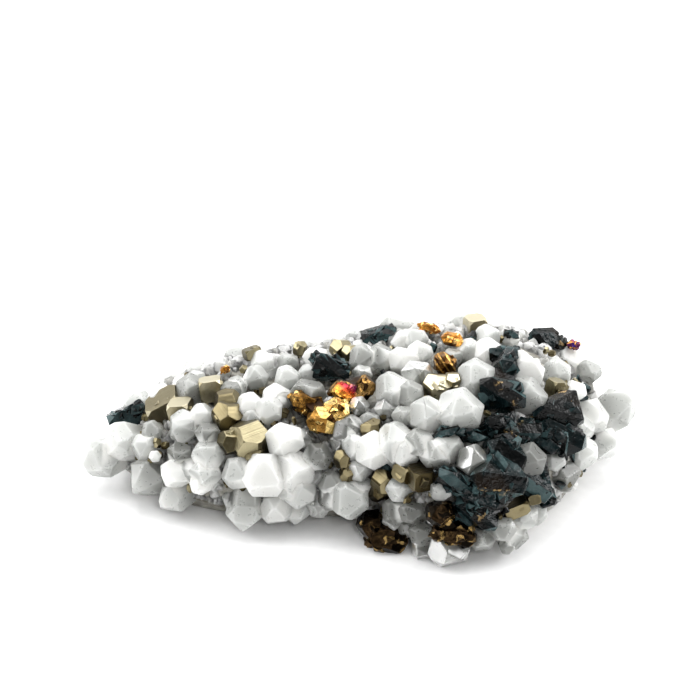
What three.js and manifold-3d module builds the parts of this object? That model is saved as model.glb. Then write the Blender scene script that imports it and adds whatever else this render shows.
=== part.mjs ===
// A hand specimen of pyrite in quartz: a plate of quartz rock about 55 mm long, crusted with short
// milky quartz crystals that radiate outwards, with brassy pyrite, brown to gold chalcopyrite and
// near-black sphalerite crystals set among them.
//
// The quartz rock and its own crystals grew as one piece, so they are one solid. Each cluster of
// another mineral is a solid of its own, seated in a pocket of the quartz.
//
// Millimetres. +X runs along the specimen, +Y to its back, +Z up. The origin is in the middle of
// the box round the specimen, on the surface that it rests on.
import * as THREE from "three";
import { mergeVertices } from "three/addons/utils/BufferGeometryUtils.js";
import Module from "manifold-3d";

const wasm = await Module();
wasm.setup();

// Driving dimensions of the rock under the crystals
const ROCK_HALF_LENGTH = 25;
const ROCK_RIM_HEIGHT = 2.4;
const ROCK_FOOT_SHARE = 0.66;
const ROCK_ROUGHNESS = 0.7;
// Sections across the rock: where along X, the front edge, the back edge and the height
const ROCK_SECTIONS = [
  { x: -24, front: -4, back: 5.5, top: 5.2 },
  { x: -20, front: -7, back: 9.5, top: 7.6 },
  { x: -13, front: -9.5, back: 11, top: 9.2 },
  { x: -6, front: -10, back: 12.5, top: 9.9 },
  { x: 1, front: -11, back: 13.5, top: 10.8 },
  { x: 7, front: -15, back: 15, top: 11.8 },
  { x: 13, front: -15.5, back: 15, top: 12.2 },
  { x: 19, front: -10, back: 14, top: 11.4 },
  { x: 24.5, front: -2, back: 11, top: 8.8 },
];
// How square the sections are: 2 for an ellipse, more for a fuller shape
const ACROSS_POWER = 4;
const HEIGHT_POWER = 2.2;

// How thick the root between two crystals of a cluster is, as a share of the crystal
const ROOT_THICKNESS = 0.6;
// How wide the quartz under a cluster is, as a share of the cluster's first crystal
const SEAT_WIDTH = 0.8;
// The gap that keeps a mineral's solid clear of the quartz around it
const SEAT_GAP = 0.3;
// Steps and slivers smaller than this are smoothed out of the quartz
const SMALLEST_DETAIL = 0.1;
// How far the middle of the finished box lies from the rock's own axes
const BOX_MIDDLE = { x: 0.329, y: -0.772 };

// Crystals on the side that shows best are placed by where they are seen from this viewpoint:
// mm right and up from the middle of a picture plane that stands EYE_DISTANCE in front of the eye
const EYE_PITCH = THREE.MathUtils.degToRad(29);
const EYE_DISTANCE = 200;
const AIM = new THREE.Vector3(0, -4, 5);
const AIM_SEEN_AT = { across: 1, up: -10 };
const RIGHT = new THREE.Vector3(1, 0, 0);
const UP = new THREE.Vector3(0, Math.sin(EYE_PITCH), Math.cos(EYE_PITCH));
const TOWARDS_EYE = new THREE.Vector3(0, -Math.cos(EYE_PITCH), Math.sin(EYE_PITCH));

// The quartz crystals that show. Each row holds: across and up, where the tip is seen; the width
// from flat to flat of the six-sided prism; how far the tip stands out of the rock; and the lean,
// the part of the crystal's direction that runs right and up in the picture, 0 and 0 pointing at
// the eye. A last number, where there is one, turns the prism about its own length, in degrees.
const SEEN_CRYSTALS = [
  // the left end
  [-26.4, -11.4, 4.6, 4.2, -0.85, -0.25],
  [-24.7, -9.0, 4.3, 4.0, -0.7, 0.1],
  [-21.7, -14.3, 4.6, 4.2, -0.5, -0.5],
  [-19.2, -15.8, 3.2, 3.0, -0.75, -0.45],
  [-18.7, -13.4, 3.7, 3.4, -0.55, -0.45],
  [-21.2, -9.8, 3.2, 3.0, -0.3, 0.0],
  [-19.5, -10.6, 1.2, 2.7, 0.1, 0.1],
  [-19.9, -7.9, 2.2, 2.2, 0.0, 0.2],
  [-17.8, -7.5, 3.4, 3.2, -0.45, 0.1],
  [-17.5, -10.5, 2.9, 2.8, -0.2, 0.0],
  [-16.3, -12.2, 2.7, 2.6, -0.2, -0.1],
  [-21.9, -4.6, 3.7, 3.4, -0.3, 0.5],
  [-19.2, -3.9, 2.9, 2.8, -0.1, 0.5],
  [-17.3, -3.0, 2.4, 2.3, -0.3, 0.5],
  [-16.0, -3.4, 3.4, 3.2, 0.0, 0.3],
  [-15.3, -2.2, 2.0, 2.0, 0.1, 0.5],
  // left of the middle, from the front edge up
  [-10.7, -18.3, 3.8, 3.9, -0.05, -0.8],
  [-7.4, -16.9, 3.5, 3.3, 0.05, -0.45],
  [-4.3, -14.9, 3.5, 3.3, 0.4, -0.3],
  [-6.0, -14.7, 3.4, 3.2, 0.0, -0.4],
  [-15.0, -14.4, 2.3, 3.6, 0.0, -0.5],
  [-14.7, -12.7, 3.4, 3.6, -0.05, -0.1],
  [-14.4, -10.2, 3.5, 3.4, -0.05, 0.25],
  [-11.8, -12.5, 3.7, 3.4, -0.3, -0.05],
  [-8.6, -12.7, 4.9, 4.5, 0.0, 0.0, 0],
  [-5.3, -12.0, 4.5, 4.1, 0.15, 0.08],
  [-6.8, -8.9, 4.1, 4.4, 0.05, 0.3],
  [-14.3, -8.3, 2.7, 2.6, 0.0, 0.1],
  [-14.9, -5.6, 2.9, 2.8, 0.0, 0.6],
  [-10.3, -5.2, 3.0, 2.8, -0.1, 0.3],
  [-8.2, -5.9, 2.9, 2.8, 0.0, 0.1],
  [-7.0, -4.1, 3.0, 2.8, 0.2, 0.4],
  [-6.8, -5.2, 1.3, 2.2, 0.2, 0.0],
  [-12.0, -3.8, 2.2, 2.2, 0.0, 0.2],
  [-9.5, -2.3, 2.7, 2.6, 0.0, 0.3],
  [-6.3, -2.2, 2.7, 2.6, 0.0, 0.4],
  [-8.8, -0.3, 2.7, 2.6, 0.0, 0.6],
  [-6.4, -0.6, 2.4, 2.3, -0.1, 0.4],
  [-3.4, 0.0, 2.9, 2.8, 0.0, 0.5],
  // the middle
  [-3.1, -10.6, 3.2, 3.0, 0.1, 0.1],
  [-2.0, -13.3, 2.7, 2.6, -0.1, 0.1],
  [-2.2, -15.3, 2.9, 2.8, -0.2, -0.3],
  [-0.1, -15.1, 4.1, 3.8, -0.05, -0.05],
  [0.5, -16.8, 1.8, 2.4, 0.0, -0.5],
  [1.3, -13.8, 2.7, 2.6, 0.1, 0.1],
  [2.5, -10.1, 4.1, 4.4, 0.0, 0.05, 30],
  [4.6, -8.2, 4.5, 4.1, -0.05, 0.45],
  [5.8, -10.6, 2.7, 3.2, 0.1, -0.1],
  [0.0, -9.8, 2.6, 3.0, -0.3, 0.0],
  [1.0, -12.0, 2.9, 2.8, 0.1, 0.0],
  [4.8, -14.1, 2.8, 3.0, -0.1, 0.0],
  [0.9, -5.4, 2.1, 2.4, 0.0, 0.2],
  [0.0, -8.1, 2.9, 2.8, 0.2, 0.1],
  [4.4, -3.0, 4.0, 3.7, 0.0, 0.5],
  [5.4, 0.0, 3.4, 3.2, 0.0, 0.45],
  [-3.7, -3.8, 3.7, 3.4, 0.25, 0.25],
  [-4.1, -1.6, 2.2, 2.2, 0.1, 0.6],
  [-1.0, 0.9, 2.2, 2.2, -0.1, 0.6],
  [1.2, -0.2, 3.3, 3.1, -0.1, 0.4],
  [3.2, -0.3, 2.9, 2.8, 0.1, 0.3],
  [1.1, -2.1, 2.1, 2.1, -0.1, 0.2],
  [5.5, -6.2, 2.6, 2.4, 0.0, 0.3],
  [3.5, -5.5, 2.4, 2.3, -0.1, 0.2],
  [7.4, -6.7, 2.4, 2.3, 0.1, 0.2],
  [0.4, -7.2, 2.2, 2.2, 0.1, 0.3],
  [2.0, -6.8, 2.2, 2.2, 0.0, 0.3],
  [-0.9, -9.0, 2.4, 2.3, 0.0, 0.2],
  [-4.3, -8.6, 2.2, 2.2, 0.2, 0.2],
  [-9.8, -6.7, 2.4, 2.3, 0.0, 0.3],
  [-11.2, -3.1, 2.2, 2.2, 0.1, 0.4],
  [4.4, -16.2, 2.9, 2.8, -0.1, 0.0],
  [6.2, -16.5, 2.7, 2.6, 0.0, -0.1],
  // right of the middle
  [7.0, -1.9, 3.3, 3.1, 0.1, 0.25],
  [8.1, -6.0, 4.1, 3.8, 0.0, 0.1, 30],
  [11.3, -5.4, 5.0, 4.5, 0.05, 0.15],
  [12.8, -2.0, 4.1, 3.8, 0.0, 0.35, 30],
  [6.4, -4.3, 2.7, 2.6, 0.2, 0.1],
  [7.3, -9.0, 3.4, 3.2, 0.1, 0.2],
  [10.3, -9.6, 3.5, 3.3, 0.25, 0.15],
  [8.5, -10.8, 3.4, 3.2, -0.1, -0.1],
  [12.9, -10.8, 3.4, 3.2, 0.2, 0.2],
  [9.7, -14.7, 2.2, 2.6, 0.35, -0.4],
  [7.5, 0.3, 2.7, 2.6, 0.3, 0.3],
  [6.6, 1.9, 2.7, 2.6, 0.0, 0.6],
  [5.2, 1.9, 2.7, 2.6, -0.1, 0.6],
  [12.0, 0.8, 2.7, 2.6, 0.0, 0.5],
  [14.2, 0.7, 3.2, 3.0, 0.1, 0.5],
  [14.0, 2.3, 2.7, 2.6, 0.1, 0.6],
  [16.1, 2.0, 2.3, 2.3, 0.1, 0.6],
  [10.5, -0.3, 2.2, 2.2, 0.1, 0.3],
  // the right end
  [18.2, -3.8, 4.4, 4.0, 0.05, 0.2],
  [17.9, -0.3, 4.9, 4.5, 0.2, 0.45],
  [21.2, -1.7, 2.9, 2.8, 0.2, 0.3],
  [22.7, -3.7, 2.6, 2.6, 0.1, 0.3],
  [24.7, -1.4, 2.9, 2.8, 0.45, 0.5],
  [28.6, -4.4, 4.8, 4.4, 0.8, 0.2],
  [25.6, -6.6, 4.2, 4.0, 0.5, 0.05],
  [23.8, -8.1, 2.9, 2.8, 0.3, -0.1],
  [23.8, -10.2, 3.9, 3.6, 0.25, 0.05],
  [20.7, -11.2, 2.4, 2.3, 0.1, 0.0],
  [22.7, -13.4, 3.7, 3.4, 0.55, -0.35],
  [27.2, -9.6, 3.9, 3.6, 0.65, -0.05],
  [18.0, -10.9, 3.7, 3.4, 0.0, 0.1],
  // the front edge on the right
  [17.6, -16.7, 3.2, 3.0, 0.1, 0.0],
  [19.3, -16.4, 2.4, 2.4, 0.4, 0.0],
  [16.7, -19.1, 3.2, 3.0, 0.15, -0.2],
  [15.3, -18.0, 2.7, 2.6, -0.1, 0.0],
  [13.3, -19.6, 2.7, 2.6, 0.0, -0.3],
  [10.0, -21.2, 4.4, 4.0, 0.0, -0.45],
  [6.8, -20.6, 2.4, 2.4, -0.3, -0.4],
  [7.1, -18.7, 2.7, 2.6, -0.1, -0.1],
  [16.0, -20.2, 1.6, 2.4, 0.2, -0.4],
];

// The crystals of the other minerals. Each piece holds: across and up, where its middle is seen;
// how far that stands out of the rock; its size right, up and towards the eye; and its turns, in
// degrees, about those three directions.
const MINERALS = {
  sphalerite_main: {
    habit: "sphalerite",
    pieces: [
      [14.6, -12.8, 3.1, [4.6, 4.4, 3.8], [20, 10, 35]],
      [15.4, -10.4, 2.5, [3.2, 3.4, 3.0], [0, 20, 15]],
      [18.2, -13.0, 2.5, [3.4, 3.8, 3.2], [30, 0, 10]],
      [10.7, -13.1, 2.9, [4.4, 2.4, 3.0], [15, 10, -12]],
      [13.2, -14.6, 2.5, [3.8, 3.0, 3.0], [0, 0, 20]],
      [12.6, -16.2, 2.3, [4.4, 2.4, 3.0], [10, 0, -15]],
      [15.0, -7.6, 2.3, [3.2, 2.8, 3.0], [25, 15, 0]],
      [17.2, -8.3, 2.1, [3.0, 2.4, 3.0], [0, 30, 40]],
      [12.0, -8.4, 2.1, [3.2, 1.5, 2.6], [0, 0, 5]],
      [9.6, -8.2, 2.9, [2.6, 1.1, 2.2], [0, 0, 35]],
      [19.2, -8.8, 2.3, [3.4, 2.6, 3.2], [10, 0, 0]],
      [20.9, -8.6, 2.9, [3.8, 4.2, 3.4], [0, 20, 25]],
      [20.6, -6.2, 3.3, [4.8, 3.0, 3.4], [20, 0, 12]],
      [19.6, -14.6, 2.3, [1.7, 2.0, 2.2], [0, 0, 20]],
    ],
  },
  sphalerite_upper: {
    habit: "sphalerite",
    pieces: [
      [15.2, -4.5, 3.3, [4.4, 2.9, 3.2], [15, 0, 180]],
      [15.8, -2.0, 3.5, [3.4, 3.6, 3.4], [30, 30, 10]],
      [15.5, -0.6, 2.9, [3.2, 1.8, 2.4], [0, 0, 4]],
    ],
  },
  sphalerite_left: {
    habit: "slab",
    pieces: [
      [-22.3, -6.7, 2.7, [3.7, 2.0, 2.2], [10, 0, 24]],
      [-21.2, -5.9, 2.5, [1.6, 1.2, 1.6], [0, 0, 50]],
    ],
  },
  sphalerite_teal: {
    habit: "sphalerite",
    pieces: [
      [-1.8, -1.9, 2.9, [3.6, 2.2, 2.4], [20, 0, 170]],
      [-2.9, -1.2, 2.7, [2.4, 1.4, 2.0], [0, 0, -40]],
    ],
  },
  sphalerite_crest: {
    habit: "slab",
    pieces: [
      [2.8, 1.4, 1.9, [3.4, 1.5, 2.0], [20, 0, 14]],
      [3.9, 1.9, 1.9, [1.4, 1.2, 1.6], [0, 0, 30]],
    ],
  },
  sphalerite_fleck: {
    habit: "slab",
    pieces: [[16.1, 1.6, 2.8, [1.5, 0.8, 1.4], [0, 0, -10]]],
  },
  sphalerite_ridge: {
    habit: "sphalerite",
    pieces: [
      [19.3, 1.2, 2.0, [2.8, 2.0, 2.4], [30, 0, -20]],
      [20.9, 0.7, 1.9, [1.6, 1.3, 1.6], [0, 0, -30]],
    ],
  },
  chalcopyrite_centre: {
    habit: "lump",
    pieces: [
      [-4.3, -5.3, 2.7, [4.0, 2.2, 2.6], [0, 10, -22]],
      [-2.7, -7.0, 3.0, [3.2, 2.6, 2.8], [20, 0, -10]],
      [-1.5, -6.2, 2.9, [2.6, 2.6, 2.6], [0, 20, 30]],
    ],
  },
  chalcopyrite_tarnished: {
    habit: "lump",
    pieces: [
      [0.8, -3.8, 3.1, [3.8, 2.3, 2.8], [10, 0, 14]],
      [-0.8, -4.2, 3.0, [2.3, 2.4, 2.6], [20, 0, 50]],
    ],
  },
  chalcopyrite_front: {
    habit: "lump",
    pieces: [
      [2.2, -17.4, 3.1, [2.8, 2.8, 2.6], [10, 20, 10]],
      [3.8, -18.8, 3.1, [3.9, 3.2, 2.8], [0, 0, -12]],
      [2.4, -19.6, 2.9, [2.6, 2.2, 2.4], [20, 0, 6]],
    ],
  },
  chalcopyrite_lower: {
    habit: "lump",
    pieces: [
      [9.0, -16.3, 3.1, [2.6, 2.6, 2.4], [0, 20, 30]],
      [10.8, -18.4, 2.9, [3.6, 2.2, 2.4], [15, 0, -14]],
      [8.8, -18.4, 2.9, [1.6, 1.5, 1.6], [0, 0, 0]],
    ],
  },
  chalcopyrite_striated: {
    habit: "lump",
    pieces: [[9.5, -1.4, 3.1, [2.4, 2.1, 2.2], [20, 20, -30]]],
  },
  chalcopyrite_orange: {
    habit: "lump",
    pieces: [
      [10.1, 1.1, 2.7, [2.2, 1.4, 1.6], [0, 0, -10]],
      [10.9, 0.7, 2.5, [1.4, 0.9, 1.4], [0, 20, -20]],
    ],
  },
  chalcopyrite_crest: {
    habit: "lump",
    pieces: [[7.9, 2.2, 1.9, [2.7, 1.0, 1.6], [0, 0, -18]]],
  },
  chalcopyrite_fleck: {
    habit: "lump",
    pieces: [[-12.5, -1.9, 1.8, [1.1, 0.8, 1.2], [0, 0, 25]]],
  },
  chalcopyrite_tip: {
    habit: "lump",
    pieces: [[22.3, 0.5, 2.8, [1.5, 0.9, 1.4], [0, 0, -4]]],
  },
  pyrite_large: {
    habit: "pyrite",
    pieces: [
      [-10.0, -9.1, 3.1, [4.0, 4.0, 4.0], [40, 25, 20]],
      [-12.0, -9.2, 2.7, [2.2, 2.4, 2.4], [10, 30, 10]],
    ],
  },
  pyrite_brown: {
    habit: "pyrite",
    pieces: [
      [-12.2, -6.6, 2.7, [3.0, 2.8, 3.0], [40, 40, 0]],
      [-12.3, -5.1, 2.7, [2.6, 1.9, 2.4], [50, 0, 10]],
    ],
  },
  pyrite_left: {
    habit: "cube",
    pieces: [
      [-18.4, -5.5, 2.5, [3.6, 2.2, 2.8], [35, -15, 28]],
      [-16.9, -6.0, 2.5, [2.2, 1.9, 2.2], [25, -15, 4]],
    ],
  },
  pyrite_pitted: {
    habit: "cube",
    pieces: [[-13.9, -3.9, 2.4, [2.2, 2.2, 1.8], [20, 0, 8]]],
  },
  pyrite_upper: {
    habit: "pyrite",
    pieces: [
      [8.8, -3.7, 2.9, [2.8, 2.6, 2.8], [30, 40, 0]],
      [10.3, -3.1, 2.9, [1.9, 1.6, 2.0], [30, 0, 0]],
    ],
  },
  pyrite_grey: {
    habit: "cube",
    pieces: [
      [7.1, -12.7, 2.7, [2.2, 2.0, 2.2], [30, 20, 10]],
      [5.6, -12.3, 2.5, [1.9, 1.5, 2.0], [20, 40, 0]],
    ],
  },
  pyrite_under: {
    habit: "pyrite",
    pieces: [
      [3.5, -13.1, 2.5, [2.5, 2.5, 2.5], [30, 45, 0]],
      [2.8, -14.3, 2.3, [1.7, 1.6, 1.8], [0, 30, 20]],
    ],
  },
  pyrite_wedge: {
    habit: "pyrite",
    pieces: [[2.2, -7.9, 2.7, [2.1, 1.9, 2.1], [20, 45, 30]]],
  },
  pyrite_pair: {
    habit: "pyrite",
    pieces: [
      [-0.7, -10.9, 2.7, [1.6, 1.9, 1.8], [20, 40, 0]],
      [-0.3, -12.4, 2.5, [1.5, 1.4, 1.6], [40, 10, 0]],
    ],
  },
  pyrite_crest: {
    habit: "cube",
    pieces: [[12.5, 2.5, 1.7, [2.0, 1.8, 1.8], [30, 20, 10]]],
  },
  pyrite_back_left: {
    habit: "cube",
    pieces: [[-9.8, -0.3, 2.7, [1.7, 1.1, 1.4], [20, 20, 20]]],
  },
  pyrite_back_middle: {
    habit: "pyrite",
    pieces: [[-5.0, 0.1, 2.5, [1.3, 1.7, 1.4], [20, 40, 0]]],
  },
  pyrite_back_right: {
    habit: "pyrite",
    pieces: [
      [-0.9, 0.1, 2.7, [2.2, 2.0, 2.2], [30, 45, 0]],
      [0.0, -0.3, 2.5, [1.6, 1.7, 1.8], [30, 40, 0]],
    ],
  },
  pyrite_right: {
    habit: "cube",
    pieces: [[20.5, -3.9, 2.2, [1.4, 1.9, 1.6], [20, 30, 0]]],
  },
  pyrite_low_right: {
    habit: "cube",
    pieces: [
      [16.6, -15.8, 2.2, [2.4, 1.2, 2.0], [20, 0, 22]],
      [18.2, -15.0, 2.6, [1.3, 0.9, 1.4], [0, 20, 10]],
    ],
  },
};

// Small crystals that fill the rest of the rock, and larger ones that cover its hidden back
const FILLERS = { count: 28, narrowest: 1.8, widest: 2.6, standOut: 1.3, seed: 11 };
const BACK_CRYSTALS = { count: 44, narrowest: 2.6, widest: 4.2, standOut: 2.4, seed: 23 };
const RIM_CRYSTALS = { count: 36, narrowest: 2.0, widest: 3.2, standOut: 1.9, seed: 31 };

// Quartz habit: its end faces stand this far from square to its length
const END_FACE_TILT = THREE.MathUtils.degToRad(51.8);
// The point that the end faces would meet in is missing: a blunt top, a little askew, keeps this
// share of its height at least, and at most that much more
const LEAST_POINT_KEPT = 0.28;
const MORE_POINT_KEPT = 0.4;
const TOP_LEAN = THREE.MathUtils.degToRad(14);
const ROOT_SHARE = 0.72;
const ROOT_DEPTH = 1.6;
const LONGEST_CRYSTAL = 5;

// Numbers between 0 and 1 that are the same on every run
function numberStream(seed) {
  let state = (seed * 7919 + 12345) % 2147483647;
  return () => {
    state = (state * 48271) % 2147483647;
    return state / 2147483647;
  };
}

function solidFrom(geometry) {
  const bare = geometry.clone();
  bare.deleteAttribute("normal");
  bare.deleteAttribute("uv");
  const merged = mergeVertices(bare, 1e-4);
  const triVerts = new Uint32Array(merged.index.array);
  const vertProperties = merged.attributes.position.array;
  return new wasm.Manifold(new wasm.Mesh({ numProp: 3, vertProperties, triVerts }));
}

function geometryFrom(solid) {
  const mesh = solid.getMesh();
  const geometry = new THREE.BufferGeometry();
  geometry.setAttribute("position", new THREE.BufferAttribute(mesh.vertProperties, 3));
  geometry.setIndex(new THREE.BufferAttribute(mesh.triVerts, 1));
  geometry.computeVertexNormals();
  return geometry;
}

function largestBody(solid) {
  return solid.decompose().reduce((a, b) => (b.volume() > a.volume() ? b : a));
}

// Whether every edge still has one face on each side when points that round together are merged
function staysClosed(solid) {
  const { vertProperties, triVerts } = solid.getMesh();
  const place = (v) => Array.from(vertProperties.slice(3 * v, 3 * v + 3), (c) => c.toFixed(4)).join();
  const edges = new Map();
  for (let t = 0; t < triVerts.length; t += 3) {
    const [a, b, c] = [place(triVerts[t]), place(triVerts[t + 1]), place(triVerts[t + 2])];
    if (a === b || b === c || c === a) continue;
    for (const [from, to] of [[a, b], [b, c], [c, a]]) {
      const edge = `${from} ${to}`;
      edges.set(edge, (edges.get(edge) ?? 0) + 1);
    }
  }
  return [...edges].every(([edge, uses]) => {
    const [from, to] = edge.split(" ");
    return uses === 1 && edges.get(`${to} ${from}`) === 1;
  });
}

// Smooths small steps away, in passes, until the outcome has no open edge
function smoothed(solid) {
  let smooth = solid;
  for (let pass = 0; pass < 6; pass += 1) {
    smooth = largestBody(smooth.asOriginal().simplify(SMALLEST_DETAIL));
    if (staysClosed(smooth)) break;
  }
  return smooth;
}

// The rock's front edge, back edge and height at x, smooth between the sections
function rockAt(x) {
  const last = ROCK_SECTIONS.length - 1;
  let i = 0;
  while (i < last - 1 && x > ROCK_SECTIONS[i + 1].x) i += 1;
  const a = ROCK_SECTIONS[i];
  const b = ROCK_SECTIONS[i + 1];
  const t = THREE.MathUtils.smoothstep(x, a.x, b.x) * 0.5;
  const share = t + THREE.MathUtils.clamp((x - a.x) / (b.x - a.x), 0, 1) * 0.5;
  const between = (key) => a[key] + (b[key] - a[key]) * share;
  const front = between("front");
  const back = between("back");
  return { middle: (front + back) / 2, half: (back - front) / 2, top: between("top") };
}

// Under 1 inside the rock's upper form when that is grown by standOut, over 1 outside
function rockField(point, standOut) {
  const rock = rockAt(point.x);
  const rise = Math.max(0, point.z - ROCK_RIM_HEIGHT);
  const along = Math.abs(point.x / (ROCK_HALF_LENGTH + standOut)) ** 6;
  const across = Math.abs((point.y - rock.middle) / (rock.half + standOut)) ** ACROSS_POWER;
  const height = (rise / (rock.top - ROCK_RIM_HEIGHT + standOut)) ** HEIGHT_POWER;
  return along + across + height;
}

// Where the line of sight through a point of the picture meets the rock grown by standOut, or,
// where it passes by, the place on the line that is nearest to it
function spotSeenAt(across, up, standOut) {
  const middle = AIM.clone()
    .addScaledVector(RIGHT, -AIM_SEEN_AT.across)
    .addScaledVector(UP, -AIM_SEEN_AT.up);
  const eye = middle.clone().addScaledVector(TOWARDS_EYE, EYE_DISTANCE);
  const through = middle.addScaledVector(RIGHT, across).addScaledVector(UP, up);
  const sight = through.sub(eye).normalize();
  let best = null;
  for (let along = 160; along < 250; along += 0.1) {
    const point = eye.clone().addScaledVector(sight, along);
    const field = rockField(point, standOut);
    if (!best || field < best.field) best = { field, point };
    if (field < 1) break;
  }
  return best.point;
}

// The rock: a sphere's points pulled out to the sections, its underside broken off flat
function rockSolid() {
  const ball = new THREE.SphereGeometry(1, 20, 16).rotateZ(Math.PI / 2);
  const random = numberStream(5);
  const bare = ball.clone();
  bare.deleteAttribute("normal");
  bare.deleteAttribute("uv");
  const merged = mergeVertices(bare, 1e-4);
  const position = merged.attributes.position;
  for (let i = 0; i < position.count; i += 1) {
    const from = new THREE.Vector3().fromBufferAttribute(position, i);
    const x = Math.sign(from.x) * ROCK_HALF_LENGTH * (1 - (1 - Math.abs(from.x)) ** 1.3);
    const rock = rockAt(x);
    const round = Math.hypot(from.y, from.z);
    const turn = Math.atan2(from.z, from.y);
    const reach = Math.min(1, round * 1.25);
    const across = Math.cos(turn);
    const depth = ROCK_ROUGHNESS * random();
    const share = Math.sign(across) * Math.abs(across) ** (2 / ACROSS_POWER);
    const y = rock.middle + rock.half * reach * share;
    const height = (rock.top - depth - ROCK_RIM_HEIGHT) * reach;
    const rise = ROCK_RIM_HEIGHT + height * Math.abs(Math.sin(turn)) ** (2 / HEIGHT_POWER);
    const past = Math.max(0, Math.abs(across) - ROCK_FOOT_SHARE) / (1 - ROCK_FOOT_SHARE);
    const under = ROCK_RIM_HEIGHT * Math.max(past ** 1.3, 1 - reach);
    position.setXYZ(i, x, y, from.z >= -1e-6 ? rise : under);
  }
  return solidFrom(merged);
}

// One quartz crystal: a six-sided prism that widens from its root, with six end faces of which
// every other one is the larger, and a blunt top
function quartzCrystal(tip, direction, width, length, spin, seed) {
  const random = numberStream(seed);
  const radius = width / 2 / Math.cos(Math.PI / 6);
  const flatness = 0.84 + 0.22 * random();
  const turn = THREE.MathUtils.degToRad(spin + 30);
  const prism = new THREE.CylinderGeometry(radius, radius * ROOT_SHARE, length, 6)
    .rotateY(turn)
    .translate(0, -length / 2, 0);
  let crystal = solidFrom(prism);
  for (let face = 0; face < 6; face += 1) {
    const heading = turn + ((face + 0.5) * Math.PI) / 3;
    const normal = [
      Math.sin(heading) * Math.sin(END_FACE_TILT),
      Math.cos(END_FACE_TILT),
      Math.cos(heading) * Math.sin(END_FACE_TILT),
    ];
    const depth = radius * (face % 2 ? 0.1 + 0.1 * random() : 0.06 * random());
    crystal = crystal.trimByPlane(normal.map((n) => -n), depth);
  }
  const pointHeight = (width / 2) * Math.tan(END_FACE_TILT);
  const missing = pointHeight * (1 - LEAST_POINT_KEPT - MORE_POINT_KEPT * random());
  const lean = TOP_LEAN * random();
  const leanTo = 2 * Math.PI * random();
  const top = [Math.sin(lean) * Math.cos(leanTo), Math.cos(lean), Math.sin(lean) * Math.sin(leanTo)];
  crystal = crystal.trimByPlane(top.map((n) => -n), missing * top[1]).translate(0, missing / 2, 0);
  const first = RIGHT.clone().addScaledVector(direction, -RIGHT.dot(direction)).normalize();
  const third = new THREE.Vector3().crossVectors(first, direction);
  const place = new THREE.Matrix4()
    .makeBasis(first, direction, third.multiplyScalar(flatness))
    .setPosition(tip);
  return crystal.transform(place.elements);
}

// How far back along a crystal from its tip the rock is
function lengthToRock(tip, direction) {
  let length = 1;
  const point = tip.clone().addScaledVector(direction, -length);
  while (length < LONGEST_CRYSTAL && rockField(point, 0) > 1) {
    length += 0.2;
    point.addScaledVector(direction, -0.2);
  }
  return length;
}

// The nearest direction to the one asked for that roots the crystal in the rock
function rootedDirection(tip, asked) {
  const rock = rockAt(tip.x);
  const inner = new THREE.Vector3(tip.x * 0.85, rock.middle, ROCK_RIM_HEIGHT);
  const outwards = tip.clone().sub(inner).normalize();
  const direction = asked.clone();
  for (let share = 0; share <= 1; share += 0.1) {
    direction.copy(asked).lerp(outwards, share).normalize();
    if (lengthToRock(tip, direction) < LONGEST_CRYSTAL) return direction;
  }
  return outwards;
}

// A direction from its part right and its part up in the picture
function directionSeenAs(right, up) {
  const towards = Math.sqrt(Math.max(0.02, 1 - right * right - up * up));
  return new THREE.Vector3()
    .addScaledVector(RIGHT, right)
    .addScaledVector(UP, up)
    .addScaledVector(TOWARDS_EYE, towards)
    .normalize();
}

function seenCrystals() {
  return SEEN_CRYSTALS.map((row, index) => {
    const [across, up, width, standOut, right, rise, turn] = row;
    const tip = spotSeenAt(across, up, standOut);
    const spin = turn ?? 60 * numberStream(index + 100)();
    const direction = rootedDirection(tip, directionSeenAs(right, rise));
    const length = lengthToRock(tip, direction) + ROOT_DEPTH;
    return quartzCrystal(tip, direction, width, length, spin, index + 1);
  });
}

// Crystals square to the rock, spread over a stretch of its girth: 0 is the front edge, a half
// turn the back edge
function spreadCrystals({ count, narrowest, widest, standOut, seed }, fromTurn, toTurn) {
  const random = numberStream(seed);
  const made = [];
  for (let i = 0; i < count; i += 1) {
    const x = ROCK_HALF_LENGTH * (2 * random() - 1) * 0.98;
    const turn = Math.PI * (fromTurn + (toTurn - fromTurn) * random());
    const rock = rockAt(x);
    const reach = Math.sqrt(1 - Math.abs(x / ROCK_HALF_LENGTH) ** 6);
    const share = Math.sign(Math.cos(turn)) * Math.abs(Math.cos(turn)) ** (2 / ACROSS_POWER);
    const height = (rock.top - ROCK_RIM_HEIGHT) * reach * Math.sin(turn) ** (2 / HEIGHT_POWER);
    const foot = new THREE.Vector3(
      x,
      rock.middle - rock.half * reach * share,
      ROCK_RIM_HEIGHT + height,
    );
    const outwards = new THREE.Vector3(
      (x / ROCK_HALF_LENGTH) ** 3 + 0.5 * (random() - 0.5),
      -Math.cos(turn) + 0.5 * (random() - 0.5),
      Math.sin(turn) * 1.2 + 0.5 * (random() - 0.5) + 0.1,
    ).normalize();
    const width = narrowest + (widest - narrowest) * random();
    const rise = standOut * (0.7 + 0.5 * random());
    const tip = foot.addScaledVector(outwards, rise);
    made.push(quartzCrystal(tip, outwards, width, rise + 3, 60 * random(), seed + i * 7));
  }
  return made;
}

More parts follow.
